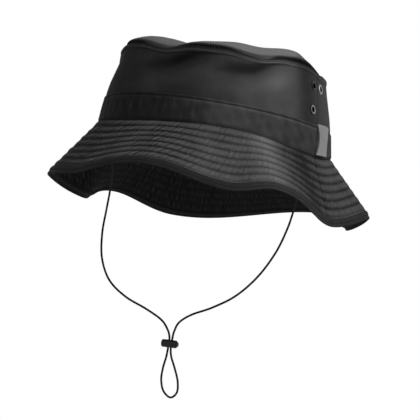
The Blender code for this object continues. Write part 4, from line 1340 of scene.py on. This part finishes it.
# Studio: a plain pale floor well below the hat, a white surround that gives little light, a soft key light
# from the hat's front left and above, and weaker ones from its front right and from behind. To the camera
# the floor is mostly white paper, with the hat's shadow left on it.
FLOOR_HEIGHT = -0.40
FLOOR_SIZE = 60
NEAR_FLOOR = 0.5              # from here to here the floor turns wholly white to the camera
FAR_FLOOR = 2.5
NEAR_WHITE = 0.8              # share of white up to there
SURROUND_LIGHT = 0.14         # what the white surround gives as light
CAMERA_TURN = radians(24)
CAMERA_TILT = radians(-7.4)
CAMERA_ROLL = radians(8.75)
CAMERA_DISTANCE = 1.8
CAMERA_LENS = 200.4
AIM_ASIDE = -0.0037
AIM_ABOVE = -0.0504


def looked_at(tree):
    """1 to the camera, also by way of a shiny or clear piece, and 0 as light on the hat."""
    rays = add_node(tree, "ShaderNodeLightPath", {}).outputs
    seen = work_out(tree, "MAXIMUM", rays["Is Camera Ray"], rays["Is Glossy Ray"])
    return work_out(tree, "MAXIMUM", seen, rays["Is Transmission Ray"])


bpy.ops.object.select_all(action="DESELECT")
bpy.ops.mesh.primitive_plane_add(size=FLOOR_SIZE, location=(0, 0, FLOOR_HEIGHT))
floor = bpy.context.object
floor.name = "studio_floor"
paper, tree, shader = new_finish("floor_paper")
feed(tree, shader, {"Base Color": (0.82, 0.82, 0.82, 1), "Roughness": 0.9})
white = add_node(tree, "ShaderNodeEmission", {"Color": (1, 1, 1, 1), "Strength": 1.0}).outputs[0]
place = add_node(tree, "ShaderNodeTexCoord", {}).outputs["Object"]
from_hat = add_node(tree, "ShaderNodeVectorMath", {0: place}, operation="LENGTH").outputs["Value"]
whiteness = spread_out(tree, from_hat, NEAR_FLOOR, FAR_FLOOR, NEAR_WHITE)
share = work_out(tree, "MULTIPLY", looked_at(tree), whiteness)
surface = add_node(tree, "ShaderNodeMixShader", {0: share, 1: shader.outputs[0], 2: white}).outputs[0]
feed(tree, tree.nodes["Material Output"], {"Surface": surface})
floor.data.materials.append(paper)


def add_lamp(name, place, size, power):
    """A square soft light aimed at the crown."""
    light = bpy.data.lights.new(name, "AREA")
    light.shape = "SQUARE"
    light.size = size
    light.energy = power
    lamp = add_object(name, light)
    lamp.location = place
    lamp.rotation_euler = (-Vector(place)).to_track_quat("-Z", "Y").to_euler()


add_lamp("key_light", (1.44, -0.58, 1.22), 0.8, 32)
add_lamp("fill_light", (-1.2, -1.4, 0.7), 1.2, 2.5)
add_lamp("back_light", (-0.73, 1.62, 0.75), 1.2, 12)

world = bpy.data.worlds.new("studio")
world.use_nodes = True
bpy.context.scene.world = world
tree = world.node_tree
strength = add_node(tree, "ShaderNodeMix", {0: looked_at(tree), 2: SURROUND_LIGHT, 3: 1.0}, data_type="FLOAT")
feed(tree, tree.nodes["Background"], {"Color": (1, 1, 1, 1), "Strength": strength.outputs[0]})

back = Vector((sin(CAMERA_TURN)*cos(CAMERA_TILT), -cos(CAMERA_TURN)*cos(CAMERA_TILT), sin(CAMERA_TILT)))
aside = Vector((cos(CAMERA_TURN), sin(CAMERA_TURN), 0))
above = back.cross(aside)
right = aside*cos(CAMERA_ROLL) + above*sin(CAMERA_ROLL)
top = above*cos(CAMERA_ROLL) - aside*sin(CAMERA_ROLL)
stand = back*CAMERA_DISTANCE
behind = (stand - right*AIM_ASIDE - top*AIM_ABOVE).normalized()
across = top.cross(behind).normalized()
camera_data = bpy.data.cameras.new("photo_camera")
camera_data.lens = CAMERA_LENS
camera_data.sensor_width = 36
camera = add_object("photo_camera", camera_data)
turned = Matrix((across, behind.cross(across), behind)).transposed().to_4x4()
camera.matrix_world = Matrix.Translation(stand) @ turned
bpy.context.scene.camera = camera
bpy.context.scene.view_settings.view_transform = "Standard"
